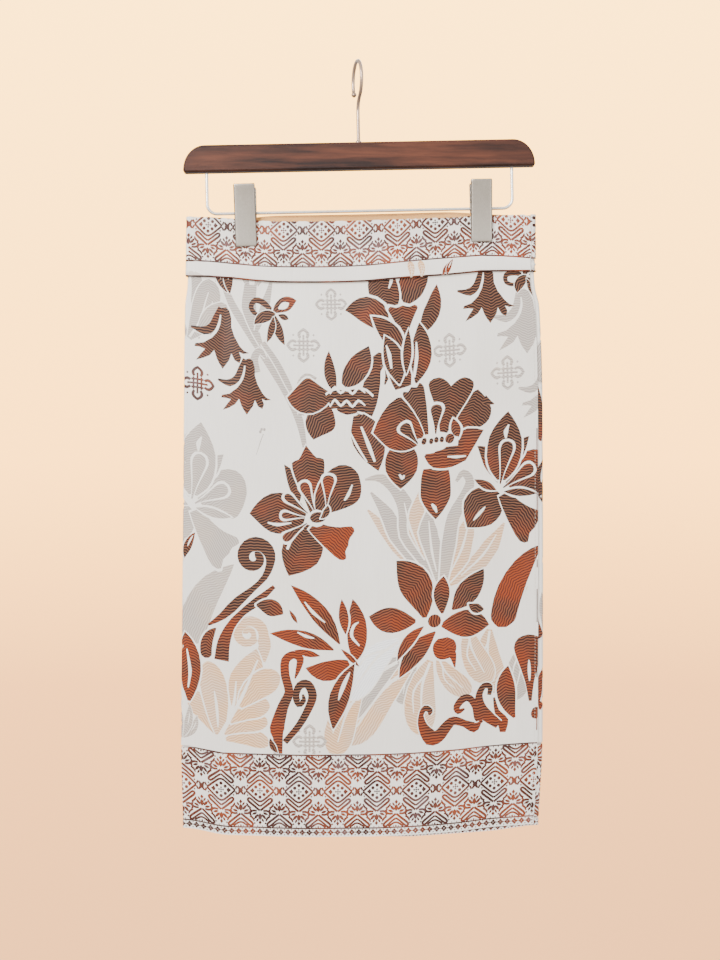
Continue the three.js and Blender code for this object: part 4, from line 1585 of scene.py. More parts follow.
class Pattern:
    """Everything that is woven into each piece of cloth."""

    border = Border()
    hem_line = 8.6
    hem_phase = 1.3
    waist_phase = 23.4
    back_rise = 161.0
    field_top = 560.0
    back_shift = 350.0
    back_limit = -4.0
    underlap_mark = -360.0
    underlap_strip = 3.4

    def field(self, start: float, end: float, top: float) -> list[Patch]:
        """Lays the field's motifs along a stretch of the body.

        Args:
            start: the stretch's lower end.
            end: its upper end.
            top: the height up to which there is cloth.

        Returns:
            The patches, in painter's order.
        """
        patches: list[Patch] = []
        low, rise = self.hem_line + self.border.band, self.field_top - self.border.band
        placed = [(m, m.s, m.height, m.threads) for m in FIELD]
        for m in FIELD:
            height = low + (m.height - low + self.back_rise) % rise
            swap = SWAPPED if m.threads is None and m.height % 3 < 1 else m.threads
            placed.append((m, m.s - self.back_shift, height, swap))
        for k, (m, s, height, threads) in enumerate(placed):
            moved = m.draw().placed((s, height), m.turn, m.size, threads=threads, tone=m.tone)
            hidden = k >= len(FIELD)
            patches += [p for p in moved if not hidden or p.outline[:, 0].max() < self.back_limit]
        lowest = low + 1.2
        kept = []
        for patch in patches:
            x, y = patch.outline.T
            if x.max() < start or x.min() > end or y.min() > top or y.max() < lowest:
                continue
            clipped = np.stack([x, np.maximum(y, lowest)], axis=1)
            if y.min() < lowest:
                clipped = tidy_flats(clipped, lowest)
            if len(clipped) > 2:
                kept.append(replace(patch, outline=clipped))
        return kept

    def body(self, chart: BodyChart) -> list[Patch]:
        """Lays out the cloth below the tuck.

        Args:
            chart: the cloth's chart.

        Returns:
            The patches, in painter's order.
        """
        upper = self.hem_line + self.border.band
        patches = self.field(chart.start, chart.end, 600)
        edge = Drawing()
        low, high = chart.end - 1.6, chart.end - 0.5
        for foot, top in [(96, 118), (150, 161), (206, 240), (262, 270), (318, 352), (378, 404)]:
            edge.polygon([(low, foot), (high, foot), (high, top), (low, top)], Thread.BORDER, 0.3)
        patches += self.border.rows(chart.start, chart.end, self.hem_line, self.hem_phase)
        patches += self.border.lines(chart.start, chart.end, [self.hem_line, upper])
        patches += self.border.strip(chart.start, self.underlap_mark, self.underlap_strip)
        patches += self.border.strip(self.underlap_mark, chart.end, self.hem_line / 2 + 0.2)
        return patches + edge.placed()

    def waist(self, chart: BandChart) -> list[Patch]:
        """Lays out a stretch of the waist band.

        Args:
            chart: the stretch's chart.

        Returns:
            The patches, in painter's order.
        """
        high = 70.0 if chart.turn_in else 52.0
        phase, lower = self.waist_phase, not chart.turn_in
        flat = self.border.rows(chart.start, chart.end, 0.0, phase, only_lower=lower)
        flat += self.border.lines(chart.start, chart.end, [0.0])
        patches = []
        for patch in flat:
            if patch.outline[:, 1].max() < high:
                rise = np.stack([0 * patch.outline[:, 0], chart.line(patch.outline[:, 0])], axis=1)
                axis_rise = np.stack([0 * patch.axis[:, 0], chart.line(patch.axis[:, 0])], axis=1)
                outline, axis = patch.outline + rise, patch.axis + axis_rise
                patches.append(replace(patch, outline=outline, axis=axis))
        marks = Drawing()
        # a brown border line along the band's foot, where the tuck folds under: painted shadow of the
        # tuck, partly the brown thread showing at its fold
        marks.patches += self.border.lines(chart.start, chart.end, [-0.2])
        for s, turn, size in [(271, -40, 0.27), (276, -22, 0.25)]:
            if chart.start < s < chart.end:
                marks.patches += long_leaf().placed((s, -1), turn, size, tone=0.4)
        for s in (238, 249):
            if chart.start < s < chart.end:
                marks.patches += swept_leaf(Thread.PEACH).placed((s, -1), 8, 0.2)
        return marks.placed() + patches

    def facing(self, chart: FacingChart) -> list[Patch]:
        """Strews a few specks of thread on the facing.

        Args:
            chart: the facing's chart.

        Returns:
            The patches.
        """
        draws = np.random.default_rng(41)
        drawing = Drawing()
        for _ in range(170):
            s = draws.uniform(chart.start + 3, chart.end - 3)
            at = (s, draws.uniform(2, chart.height - 1.5))
            drawing.disc(at, draws.uniform(0.35, 0.8), Thread.BORDER, 4, draws.uniform(0.4, 1.0))
        return drawing.placed()


def tidy_flats(outline: Points, level: float) -> Points:
    """Drops an outline's middle points where several lie on one level in a row."""
    on = np.abs(outline[:, 1] - level) < 1e-6
    inner = on & np.roll(on, 1) & np.roll(on, -1)
    return outline[~inner]


# ---- Cloth meshes ----


def new_mesh(name: str, points: Points, faces: Sequence[Sequence[int]]) -> bpy.types.Object:
    """Makes a mesh object.

    Args:
        name: the object's name.
        points: its points in metres.
        faces: its faces.

    Returns:
        The object, in the scene.
    """
    mesh = bpy.data.meshes.new(name)
    mesh.from_pydata([tuple(p) for p in points], [], [tuple(map(int, f)) for f in faces])
    mesh.update()
    made = bpy.data.objects.new(name, mesh)
    bpy.context.scene.collection.objects.link(made)
    return made


def ring_faces(rings: int, sides: int, capped: bool = True) -> list[tuple[int, ...]]:
    """Joins rings of points into a skin.

    Args:
        rings: how many rings there are.
        sides: how many points each has.
        capped: whether both ends are closed.

    Returns:
        The faces, the two caps last.
    """
    faces: list[tuple[int, ...]] = []
    for ring in range(rings - 1):
        for k in range(sides):
            a, b = ring * sides + k, ring * sides + (k + 1) % sides
            faces.append((a, b, b + sides, a + sides))
    if capped:
        top = (rings - 1) * sides
        faces += [tuple(range(sides - 1, -1, -1)), tuple(range(top, top + sides))]
    return faces


def smoothed(piece: bpy.types.Object, flat_last: int = 0) -> bpy.types.Object:
    """Shades a piece smooth.

    Args:
        piece: the piece.
        flat_last: how many of its last faces stay flat.

    Returns:
        The piece.
    """
    count = len(piece.data.polygons)
    piece.data.polygons.foreach_set("use_smooth", np.arange(count) < count - flat_last)
    return piece


@dataclass
class Sheet:
    """Builds one piece of cloth as a thin closed shell from its chart and its patches."""

    name: str
    chart: Chart
    patches: list[Patch]
    thickness: float = 0.9
    step: float = 6.5
    inner_step: float = 13.0

    def surface(self, flat: Points) -> tuple[Points, Points]:
        """Finds points of the cloth's middle and the way out of its right side.

        Args:
            flat: points of the chart.

        Returns:
            The points in millimetres, and the unit normals.
        """
        reach = 0.12
        right = self.chart.middle(flat + [reach, 0]) - self.chart.middle(flat - [reach, 0])
        up = self.chart.middle(flat + [0, reach]) - self.chart.middle(flat - [0, reach])
        normal = np.cross(right, up)
        normal /= np.maximum(np.linalg.norm(normal, axis=1), 1e-9)[:, None]
        return self.chart.middle(flat), normal

    @staticmethod
    def triangles(points: Points, polygons: list[Points], lattice: Points) -> tuple:
        """Cuts a chart into triangles along its patches' outlines.

        Args:
            points: the cut edge.
            polygons: the patches' outlines, in painter's order.
            lattice: further points inside.

        Returns:
            The flat points, the triangles, and each triangle's topmost patch, 0 for the ground.
        """
        corners = [Vector(p) for p in points]
        faces = [list(range(len(corners)))]
        for outline in polygons:
            faces.append(list(range(len(corners), len(corners) + len(outline))))
            corners += [Vector(p) for p in outline]
        corners += [Vector(p) for p in lattice]
        found = delaunay_2d_cdt(corners, [], faces, 0, 1e-4, True)
        flat = np.array([tuple(p) for p in found[0]])
        triangles, top = [], []
        for face, origins in zip(found[2], found[5]):
            if 0 in origins:
                triangles.append(face)
                top.append(max(origins))
        return flat, np.array(triangles), np.array(top)

    @staticmethod
    def rim(triangles: Points) -> list[int]:
        """Follows the open edge round a set of triangles.

        Args:
            triangles: the triangles.

        Returns:
            The points of the edge, in order.
        """
        edges = np.concatenate([triangles[:, [0, 1]], triangles[:, [1, 2]], triangles[:, [2, 0]]])
        held = set(map(tuple, edges))
        after = {a: b for a, b in held if (b, a) not in held}
        first = next(iter(after))
        loop = [first]
        while after[loop[-1]] != first:
            loop.append(after[loop[-1]])
        return loop

    def build(self) -> bpy.types.Object:
        """Builds the shell.

        Returns:
            The piece, with its slots and the attributes that its threads are shaded by.
        """
        lattice = self.chart.lattice(self.step)
        polygons = [patch.outline for patch in self.patches]
        flat, outer, top = self.triangles(self.chart.outline(), polygons, lattice)
        edge = self.rim(outer)
        coarse = self.chart.lattice(self.inner_step)
        inner_flat, inner, _ = self.triangles(flat[edge], [], coarse)
        inner_edge = self.match(flat[edge], inner_flat)
        middle, normal = self.surface(flat)
        inner_middle, inner_normal = self.surface(inner_flat)
        half = self.thickness / 2
        points = np.concatenate([middle + normal * half, inner_middle - inner_normal * half])
        shift = len(flat)
        rim_faces = []
        for k, here in enumerate(edge):
            there = edge[(k + 1) % len(edge)]
            low, low_next = inner_edge[k] + shift, inner_edge[(k + 1) % len(edge)] + shift
            rim_faces += [(here, low, low_next), (here, low_next, there)]
        rim_faces = np.array([face for face in rim_faces if len(set(face)) == 3])
        faces = np.concatenate([outer, inner[:, ::-1] + shift, rim_faces])
        made = new_mesh(self.name, points * MM, faces)
        self.shade(made, faces, points, np.concatenate([normal, -inner_normal]), len(rim_faces))
        self.mark(made, faces, top, np.concatenate([flat, inner_flat]), len(outer), len(rim_faces))
        return made

    @staticmethod
    def match(edge: Points, flat: Points) -> list[int]:
        """Finds the points of a coarser cut that lie on an edge's points.

        Args:
            edge: the edge's points.
            flat: the coarser cut's points.

        Returns:
            Their numbers in the coarser cut.
        """
        where = {(round(x, 3), round(y, 3)): k for k, (x, y) in enumerate(flat)}
        found = []
        for point in edge:
            key = (round(point[0], 3), round(point[1], 3))
            if key not in where:
                nearest = int(np.hypot(*(flat - point).T).argmin())
                where[key] = nearest
            found.append(where[key])
        return found

    @staticmethod
    def shade(
        made: bpy.types.Object, faces: Points, points: Points, normals: Points, rim_count: int
    ) -> None:
        """Gives each corner the normal of the cloth's true form, and the rim a flat one.

        Args:
            made: the piece.
            faces: its triangles, the rim's last.
            points: its points.
            normals: each point's normal.
            rim_count: how many triangles the rim has.
        """
        corners = normals[faces]
        rim = faces[-rim_count:]
        a, b, c = (points[rim[:, k]] for k in range(3))
        flat = np.cross(b - a, c - a)
        flat /= np.maximum(np.linalg.norm(flat, axis=1), 1e-9)[:, None]
        corners[-rim_count:] = flat[:, None, :]
        smoothed(made)
        made.data.normals_split_custom_set([tuple(n) for n in corners.reshape(-1, 3)])

    def mark(
        self,
        made: bpy.types.Object,
        faces: Points,
        top: Points,
        flat: Points,
        outer_count: int,
        rim_count: int,
    ) -> None:
        """Sets each face's thread, and where its corners lie in their patch and in the cloth.

        Args:
            made: the piece.
            faces: its triangles, the right side's first.
            top: the topmost patch of each triangle of the right side.
            flat: each point's place in the chart.
            outer_count: how many triangles the right side has.
            rim_count: how many triangles the rim has, which come last.
        """
        ribs = np.zeros((len(faces), 3, 3))
        tone = np.full((len(faces), 3), 0.5)
        slots = np.full(len(faces), Thread.REVERSE.value)
        slots[:outer_count] = slots[-rim_count:] = Thread.GROUND.value
        order = np.argsort(top, kind="stable")
        starts = np.searchsorted(top[order], np.arange(1, len(self.patches) + 2))
        for k, patch in enumerate(self.patches):
            mine = order[starts[k] : starts[k + 1]]
            if len(mine):
                slots[mine] = patch.thread.value
                ribs[mine] = patch.ribs(flat[faces[mine]].reshape(-1, 2)).reshape(-1, 3, 3)
                tone[mine] = patch.tone
        mesh = made.data
        mesh.polygons.foreach_set("material_index", slots.astype(np.int32))
        cloth = np.concatenate([flat[faces.reshape(-1)], np.zeros((faces.size, 1))], axis=1)
        for label, kind, field_name, values in [
            ("ribs", "FLOAT_VECTOR", "vector", ribs),
            ("cloth", "FLOAT_VECTOR", "vector", cloth),
            ("tone", "FLOAT", "value", tone),
        ]:
            attribute = mesh.attributes.new(label, kind, "CORNER")
            attribute.data.foreach_set(field_name, values.astype(np.float32).ravel())


def run_of_stitches(
    name: str,
    chart: Chart,
    route: Points,
    side: float,
    length: float = 2.6,
    gap: float = 1.3,
    thick: float = 0.32,
) -> bpy.types.Object:
    """Makes a row of stitches on a piece of cloth, each a slim spindle sunk at both ends.

    Args:
        name: the row's name.
        chart: the cloth's chart.
        route: the row's line on the chart.
        side: 1 on the cloth's right side, -1 on its wrong side.
        length: a stitch's length.
        gap: between stitches.
        thick: the thread's thickness.

    Returns:
        The row as one piece.
    """
    run = np.append(0, np.cumsum(np.hypot(*np.diff(route, axis=0).T)))
    starts = np.arange(gap, run[-1] - length, length + gap)
    at = (starts[:, None] + np.linspace(0, length, 5)).ravel()
    flat = np.stack([np.interp(at, run, route[:, k]) for k in (0, 1)], axis=1)
    sheet = Sheet(name, chart, [])
    middle, normal = sheet.surface(flat)
    middle, normal = middle.reshape(-1, 5, 3), normal.reshape(-1, 5, 3) * side
    ahead = middle[:, -1:] - middle[:, :1]
    ahead /= np.linalg.norm(ahead, axis=2)[..., None]
    beside = np.cross(normal, ahead)
    height = np.array([-0.3, 0.55, 0.8, 0.55, -0.3]) * thick
    width = np.array([0.35, 0.9, 1.0, 0.9, 0.35]) * thick / 2
    centre = middle + normal * (sheet.thickness / 2 + height[None, :, None])
    points, sides = [], 6
    for k in range(sides):
        angle = 2 * math.pi * k / sides
        spoke = normal * math.cos(angle) + beside * math.sin(angle)
        points.append(centre + spoke * width[None, :, None])
    rings = np.stack(points, axis=2)
    one = ring_faces(5, sides)
    faces = [tuple(n * 5 * sides + k for k in face) for n in range(len(starts)) for face in one]
    return smoothed(new_mesh(name, rings.reshape(-1, 3) * MM, faces))


# ---- Shader maths ----


def tint(red: int, green: int, blue: int) -> Colour:
    """Turns a colour as it is seen, 0 to 255, into linear light."""

    def linear(level: int) -> float:
        """One channel in linear light."""
        share = level / 255
        return share / 12.92 if share <= 0.04045 else ((share + 0.055) / 1.055) ** 2.4

    return linear(red), linear(green), linear(blue)


class Value:
    """A number that varies over a surface. Each operator on it adds a Math node."""

    def __init__(self, recipe: "Recipe", socket: bpy.types.NodeSocket) -> None:
        """Keeps the socket that gives the number."""
        self.recipe, self.socket = recipe, socket

    def maths(self, operation: str, *others: Any, clamp: bool = False) -> "Value":
        """Adds a Math node.

        Args:
            operation: the node's operation.
            others: its further inputs.
            clamp: whether its result is kept between 0 and 1.

        Returns:
            The result.
        """
        settings = {"operation": operation, "use_clamp": clamp}
        inputs = dict(enumerate((self, *others)))
        return Value(self.recipe, self.recipe.node("ShaderNodeMath", settings, inputs).outputs[0])

    def __add__(self, other: Any) -> "Value":
        """Adds."""
        return self.maths("ADD", other)

    __radd__ = __add__

    def __sub__(self, other: Any) -> "Value":
        """Subtracts."""
        return self.maths("SUBTRACT", other)

    def __rsub__(self, other: Any) -> "Value":
        """Subtracts from a number."""
        inputs = {0: other, 1: self}
        made = self.recipe.node("ShaderNodeMath", {"operation": "SUBTRACT"}, inputs)
        return Value(self.recipe, made.outputs[0])

    def __mul__(self, other: Any) -> "Value":
        """Multiplies."""
        return self.maths("MULTIPLY", other)

    __rmul__ = __mul__

    def __truediv__(self, other: Any) -> "Value":
        """Divides."""
        return self.maths("DIVIDE", other)

    def __abs__(self) -> "Value":
        """Drops the sign."""
        return self.maths("ABSOLUTE")

    def sine(self) -> "Value":
        """The sine."""
        return self.maths("SINE")

    def held(self) -> "Value":
        """Keeps the number between 0 and 1."""
        return self.maths("ADD", 0.0, clamp=True)


class Nodes:
    """A tree of nodes and the one way in which nodes are added to it."""

    def __init__(self, tree: bpy.types.NodeTree) -> None:
        """Keeps the tree."""
        self.tree = tree

    def node(
        self,
        kind: str,
        settings: Union[dict[str, Any], None] = None,
        inputs: Union[dict[Any, Any], None] = None,
    ) -> bpy.types.Node:
        """Adds a node.

        Args:
            kind: the node's type.
            settings: its properties; "stops" are a ramp's places and colours.
            inputs: values or links of its sockets, by name or number.

        Returns:
            The node.
        """
        made = self.tree.nodes.new(kind)
        for name, value in (settings or {}).items():
            if name == "stops":
                for k, (place, colour) in enumerate(value):
                    stops = made.color_ramp.elements
                    stop = stops[k] if k < 2 else stops.new(place)
                    stop.position, stop.color = place, (*colour, 1)
            else:
                setattr(made, name, value)
        for name, value in (inputs or {}).items():
            self.feed(made.inputs[name], value)
        return made

    def feed(self, socket: bpy.types.NodeSocket, value: Any) -> None:
        """Sets or links a socket.

        Args:
            socket: the socket.
            value: a number, a colour, a Value or another socket.
        """
        if isinstance(value, Value):
            value = value.socket
        if isinstance(value, bpy.types.NodeSocket):
            self.tree.links.new(value, socket)
        elif isinstance(value, tuple) and len(value) == 3 and socket.type == "RGBA":
            socket.default_value = (*value, 1)
        else:
            socket.default_value = value


class Recipe(Nodes):
    """A material under construction: one glossy shader and the nodes that feed it."""

    def __init__(self, name: str) -> None:
        """Starts a material.

        Args:
            name: the material's name.
        """
        self.material = bpy.data.materials.new(name)
        self.material.use_nodes = True
        super().__init__(self.material.node_tree)
        self.shader = self.tree.nodes["Principled BSDF"]

    def value(self, kind: str, settings: dict[str, Any], inputs: dict[Any, Any], out: Any) -> Value:
        """Adds a node and takes one of its outputs as a number."""
        return Value(self, self.node(kind, settings, inputs).outputs[out])

    def attribute(self, name: str) -> bpy.types.NodeSocket:
        """A vector stored on the mesh."""
        return self.node("ShaderNodeAttribute", {"attribute_name": name}).outputs["Vector"]

    def number(self, name: str) -> Value:
        """A number stored on the mesh."""
        return self.value("ShaderNodeAttribute", {"attribute_name": name}, {}, "Fac")

    def parts(self, vector: Any) -> tuple[Value, Value, Value]:
        """A vector's three parts."""
        made = self.node("ShaderNodeSeparateXYZ", {}, {0: vector})
        return tuple(Value(self, made.outputs[k]) for k in range(3))

    def vector(self, x: Any, y: Any, z: Any) -> bpy.types.NodeSocket:
        """A vector from three parts."""
        return self.node("ShaderNodeCombineXYZ", {}, {0: x, 1: y, 2: z}).outputs[0]

    def stretched(self, vector: Any, scale: Sequence[float]) -> bpy.types.NodeSocket:
        """A vector times another, part by part."""
        settings = {"operation": "MULTIPLY"}
        made = self.node("ShaderNodeVectorMath", settings, {0: vector, 1: tuple(scale)})
        return made.outputs[0]

    def noise(self, vector: Any, scale: float, detail: float = 2.0, rough: float = 0.5) -> Value:
        """Soft noise between 0 and 1."""
        inputs = {"Vector": vector, "Scale": scale, "Detail": detail, "Roughness": rough}
        return self.value("ShaderNodeTexNoise", {}, inputs, "Fac")

    def mottle(
        self, vector: Any, scale: Sequence[float], detail: float = 2.0, rough: float = 0.5
    ) -> Value:
        """Soft noise between 0 and 1, stretched by a scale of its own each way."""
        return self.noise(self.stretched(vector, scale), 1.0, detail, rough)

    def blend(self, share: Any, first: Any, second: Any) -> bpy.types.NodeSocket:
        """Mixes two colours."""
        made = self.node("ShaderNodeMix", {"data_type": "RGBA"}, {"Factor": share})
        a, b = (s for s in made.inputs if s.type == "RGBA")
        self.feed(a, first)
        self.feed(b, second)
        return next(s for s in made.outputs if s.type == "RGBA")

    def ridge(self, height: Any, distance: float, strength: float = 1.0) -> None:
        """Raises the surface by a height between 0 and 1, over a distance in metres."""
        inputs = {"Height": height, "Distance": distance, "Strength": strength}
        bump = self.node("ShaderNodeBump", {}, inputs)
        self.feed(self.shader.inputs["Normal"], bump.outputs[0])

    def finish(self, **sockets: Any) -> bpy.types.Material:
        """Feeds the shader's sockets, named with _ for spaces, and gives the material."""
        for name, value in sockets.items():
            self.feed(self.shader.inputs[name.replace("_", " ")], value)
        return self.material


# ---- Finishes ----


@dataclass(frozen=True)
class SatinGround:
    """The plain satin: off-white, with upright slubs, broad clouds of painted soft shade, a fine
    weave and a soft sheen.
    """

    name: str = "satin_ground"
    pale: Colour = tint(246, 243, 237)
    shaded: Colour = tint(227, 220, 211)
    roughness: float = 0.42
    weave: float = 1.15

    def material(self) -> bpy.types.Material:
        """Builds the material."""
        recipe = Recipe(self.name)
        cloth = recipe.attribute("cloth")
        s, height, _ = recipe.parts(cloth)
        slubs = recipe.mottle(cloth, (0.55, 0.035, 0), 3.0)
        # broad clouds towards the shaded colour: painted soft shade over the cloth's bulges; the
        # upright slubs are the yarn's own
        clouds = recipe.mottle(cloth, (0.012, 0.012, 0), 1.0)
        shade = (slubs * 0.55 + clouds * 0.6 - 0.1).held()
        twill = ((s + height * 0.5) * (2 * math.pi / self.weave)).sine() * 0.5 + 0.5
        recipe.ridge(twill * 0.5 + slubs * 0.9, 0.00009)
        return recipe.finish(
            Base_Color=recipe.blend(shade, self.pale, self.shaded),
            Roughness=(slubs * 0.14 + (self.roughness - 0.07)).held(),
            Sheen_Weight=0.12,
            Sheen_Roughness=0.4,
            Specular_IOR_Level=0.45,
        )


@dataclass(frozen=True)
class RibbedThread:
    """A woven motif: wavy ribs of a dark thread and a bright one, each shaded from its own colour
    into a painted sheen.
    """

    name: str
    # each pair is the thread's own colour, then the same thread lit by a painted sheen
    dark: tuple[Colour, Colour]
    bright: tuple[Colour, Colour]
    pitch: float = 3.0
    share: float = 0.5
    roughness: float = 0.4
    metallic: float = 0.0
    crisp: float = 2.4
    ripple: float = 0.42
    relief: float = 0.00012
    # swell: how much wider the bright ribs grow where the painted sheen glows
    swell: float = 0.0
    gloss: float = 0.3

    def material(self) -> bpy.types.Material:
        """Builds the material."""
        recipe = Recipe(self.name)
        along, across, bow = recipe.parts(recipe.attribute("ribs"))
        cloth = recipe.attribute("cloth")
        tone = recipe.number("tone")
        waviness = recipe.mottle(cloth, (0.017, 0.023, 0), 1.0) * 2.4 - 0.5
        wave = (across * 0.8).sine() * self.ripple * waviness.held()
        clouds = recipe.mottle(cloth, (0.03, 0.03, 0), 2.0, 0.6)
        drift = (clouds - 0.5) * 2.2
        phase = (along + bow * abs(across) + wave + drift) * (2 * math.pi / self.pitch)
        # the painted sheen glows in broad patches, with each patch's tone, and fades towards the top
        # of the cloth
        patches = recipe.mottle(cloth, (0.021, 0.026, 0), 2.0, 0.55)
        height = recipe.parts(cloth)[1]
        painted_glow = ((patches - 0.5) * 3.2 + tone + (0.08 - height * 0.0012)).held()
        level = painted_glow * self.swell + (0.5 + (self.share - 0.5) * 3.1 * self.crisp / 2.4)
        rib = (phase.sine() * self.crisp + level).held()
        dark = recipe.blend(painted_glow, *self.dark)
        bright = recipe.blend(painted_glow, *self.bright)
        recipe.ridge(rib, self.relief)
        return recipe.finish(
            Base_Color=recipe.blend(rib, dark, bright),
            Roughness=(rib * -0.08 + self.roughness).held(),
            Metallic=self.metallic,
            Sheen_Weight=0.05,
            Specular_IOR_Level=self.gloss,
        )


@dataclass(frozen=True)
class BorderThread:
    """The border's thread, which drifts from brown to copper to a greyed mauve along the cloth."""

    name: str = "border_thread"
    brown: Colour = tint(60, 28, 21)
    copper: Colour = tint(134, 60, 30)
    mauve: Colour = tint(104, 72, 72)

    def material(self) -> bpy.types.Material:
        """Builds the material."""
        recipe = Recipe(self.name)
        cloth = recipe.attribute("cloth")
        s, height, _ = recipe.parts(cloth)
        tone = recipe.number("tone")
        first = recipe.mottle(cloth, (0.024, 0.03, 0), 1.0)
        second = recipe.noise(recipe.stretched(cloth, (0.03, 0.026, 0.0)), 1.7, 1.0)
        warm = ((first - 0.5) * 4.0 + tone * 0.8).held()
        cool = ((second - 0.52) * 4.5).held()
        colour = recipe.blend(warm, self.brown, self.copper)
        threads = ((s - height) * (2 * math.pi / 0.9)).sine() * 0.5 + 0.5
        recipe.ridge(threads, 0.00008)
        return recipe.finish(
            Base_Color=recipe.blend(cool * 0.75, colour, self.mauve),
            Roughness=(threads * -0.08 + 0.46).held(),
            Specular_IOR_Level=0.3,
        )


@dataclass(frozen=True)
class SatinReverse:
    """The satin's wrong side: duller, with the motifs' threads floating across it."""

    name: str = "satin_reverse"
    plain: Colour = tint(214, 205, 196)
    float_thread: Colour = tint(176, 132, 108)

    def material(self) -> bpy.types.Material:
        """Builds the material."""
        recipe = Recipe(self.name)
        cloth = recipe.attribute("cloth")
        s, height, _ = recipe.parts(cloth)
        fine = recipe.mottle(cloth, (0.16, 0.9, 0), 3.0)
        patches = recipe.mottle(cloth, (0.022, 0.022, 0), 2.0)
        floats = ((fine - 0.52) * 5.0).held() * ((patches - 0.5) * 6.0).held()
        twill = ((s - height * 0.5) * (2 * math.pi / 1.15)).sine() * 0.5 + 0.5
        recipe.ridge(twill * 0.5 + fine, 0.0001)
        return recipe.finish(
            Base_Color=recipe.blend(floats * 0.7, self.plain, self.float_thread),
            Roughness=(fine * 0.1 + 0.62).held(),
            Sheen_Weight=0.15,
        )


@dataclass(frozen=True)
class FacingCloth:
    """The plain tan cloth that faces the inside of the back waist."""

    name: str = "facing_cloth"
    light: Colour = tint(238, 182, 112)
    deep: Colour = tint(206, 146, 78)

    def material(self) -> bpy.types.Material:
        """Builds the material."""
        recipe = Recipe(self.name)
        cloth = recipe.attribute("cloth")
        s, height, _ = recipe.parts(cloth)
        fine = recipe.mottle(cloth, (0.7, 0.7, 0), 3.0, 0.65)
        warp = (s * (2 * math.pi / 1.1)).sine() * (height * (2 * math.pi / 1.1)).sine()
        recipe.ridge(warp * 0.5 + fine, 0.00012)
        return recipe.finish(
            Base_Color=recipe.blend((fine * 1.3 - 0.2).held(), self.light, self.deep),
            Roughness=(fine * 0.12 + 0.66).held(),
            Sheen_Weight=0.2,
        )


@dataclass(frozen=True)
class SewingThread:
    """A plain twisted sewing thread."""

    name: str
    colour: Colour
    worn: Colour

    def material(self) -> bpy.types.Material:
        """Builds the material."""
        recipe = Recipe(self.name)
        place = recipe.node("ShaderNodeTexCoord").outputs["Object"]
        x, _, z = recipe.parts(place)
        twist = ((x + z) * 9000.0).sine() * 0.5 + 0.5
        fluff = recipe.noise(place, 900.0, 2.0)
        recipe.ridge(twist, 0.00005)
        return recipe.finish(
            Base_Color=recipe.blend((fluff * twist).held(), self.colour, self.worn),
            Roughness=(fluff * 0.15 + 0.55).held(),
            Sheen_Weight=0.2,
        )


@dataclass(frozen=True)
class Walnut:
    """Stained, satin-varnished wood with its grain along the bar."""

    name: str = "walnut"
    dark: Colour = tint(34, 19, 17)
    light: Colour = tint(96, 54, 38)

    def material(self) -> bpy.types.Material:
        """Builds the material."""
        recipe = Recipe(self.name)
        place = recipe.node("ShaderNodeTexCoord").outputs["Object"]
        broad = recipe.mottle(place, (-9, 90, 90), 3.0, 0.6)
        shift = recipe.vector(broad * 0.6, broad * 0.8, broad)
        moved = recipe.node("ShaderNodeVectorMath", {"operation": "ADD"},
                            {0: recipe.stretched(place, (14, 330, 330)), 1: shift}).outputs[0]
        grain = recipe.noise(moved, 1.0, 5.0, 0.7)
        pores = recipe.mottle(place, (60, 1600, 1600), 2.0)
        shade = (grain * 1.0 + (broad - 0.5) * 2.4 - 0.1).held()
        pore = ((pores - 0.62) * 7.0).held()
        colour = recipe.blend(shade, self.dark, self.light)
        recipe.ridge(1 - pore + grain * 0.4, 0.00006)
        return recipe.finish(
            Base_Color=recipe.blend(pore * 0.55, colour, self.dark),
            Roughness=(grain * 0.18 + 0.42).held(),
            Specular_IOR_Level=0.22,
            Coat_Weight=0.05,
            Coat_Roughness=0.3,
        )


@dataclass(frozen=True)
class PlatedWire:
    """Bright nickel plate with a faint haze and fine draw marks. On the hook both colours are a
    painted reflection of the peach wall.
    """

    name: str = "nickel"
    bright: Colour = tint(255, 252, 247)
    hazed_and_dim_reflection: Colour = tint(226, 218, 206)

    def material(self) -> bpy.types.Material:
        """Builds the material."""
        recipe = Recipe(self.name)
        place = recipe.node("ShaderNodeTexCoord").outputs["Object"]
        haze = recipe.noise(place, 46.0, 3.0, 0.6)
        marks = recipe.mottle(place, (300, 300, 40), 2.0)
        recipe.ridge(marks, 0.00002)
        return recipe.finish(
            Base_Color=recipe.blend((haze * 1.4 - 0.3).held(), self.bright, self.hazed_and_dim_reflection),
            Roughness=(haze * 0.16 + marks * 0.06 + 0.14).held(),
            Metallic=0.72,
        )


@dataclass(frozen=True)
class BrushedPlate:
    """Pressed sheet with an upright brushed grain, and painted light: brighter towards the foot,
    darker along the rolled sides.
    """

    name: str = "brushed_nickel"
    bright: Colour = tint(212, 206, 196)
    dull_and_shaded: Colour = tint(152, 142, 129)
    # painted shade where the plate's sides roll back
    fold: Colour = tint(84, 72, 62)

    def material(self) -> bpy.types.Material:
        """Builds the material."""
        recipe = Recipe(self.name)
        place = recipe.node("ShaderNodeTexCoord").outputs["Object"]
        grain = recipe.mottle(place, (2600, 2600, 60), 3.0, 0.6)
        clouds = recipe.noise(place, 60.0, 2.0)
        across, _, up = recipe.parts(recipe.attribute("plate"))
        # painted light: duller towards the top and brighter towards the foot, over the grain's own
        # streaks
        shade = (grain * 0.9 + clouds * 0.5 + up * 0.6 - 0.62).held()
        # painted shade along the rolled sides
        folded = ((across - 0.93) * 30).held() * 0.75
        recipe.ridge(grain, 0.00003)
        return recipe.finish(
            Base_Color=recipe.blend(folded, recipe.blend(shade, self.bright, self.dull_and_shaded), self.fold),
            Roughness=(grain * 0.16 + clouds * 0.1 + 0.26).held(),
            Metallic=1.0,
        )


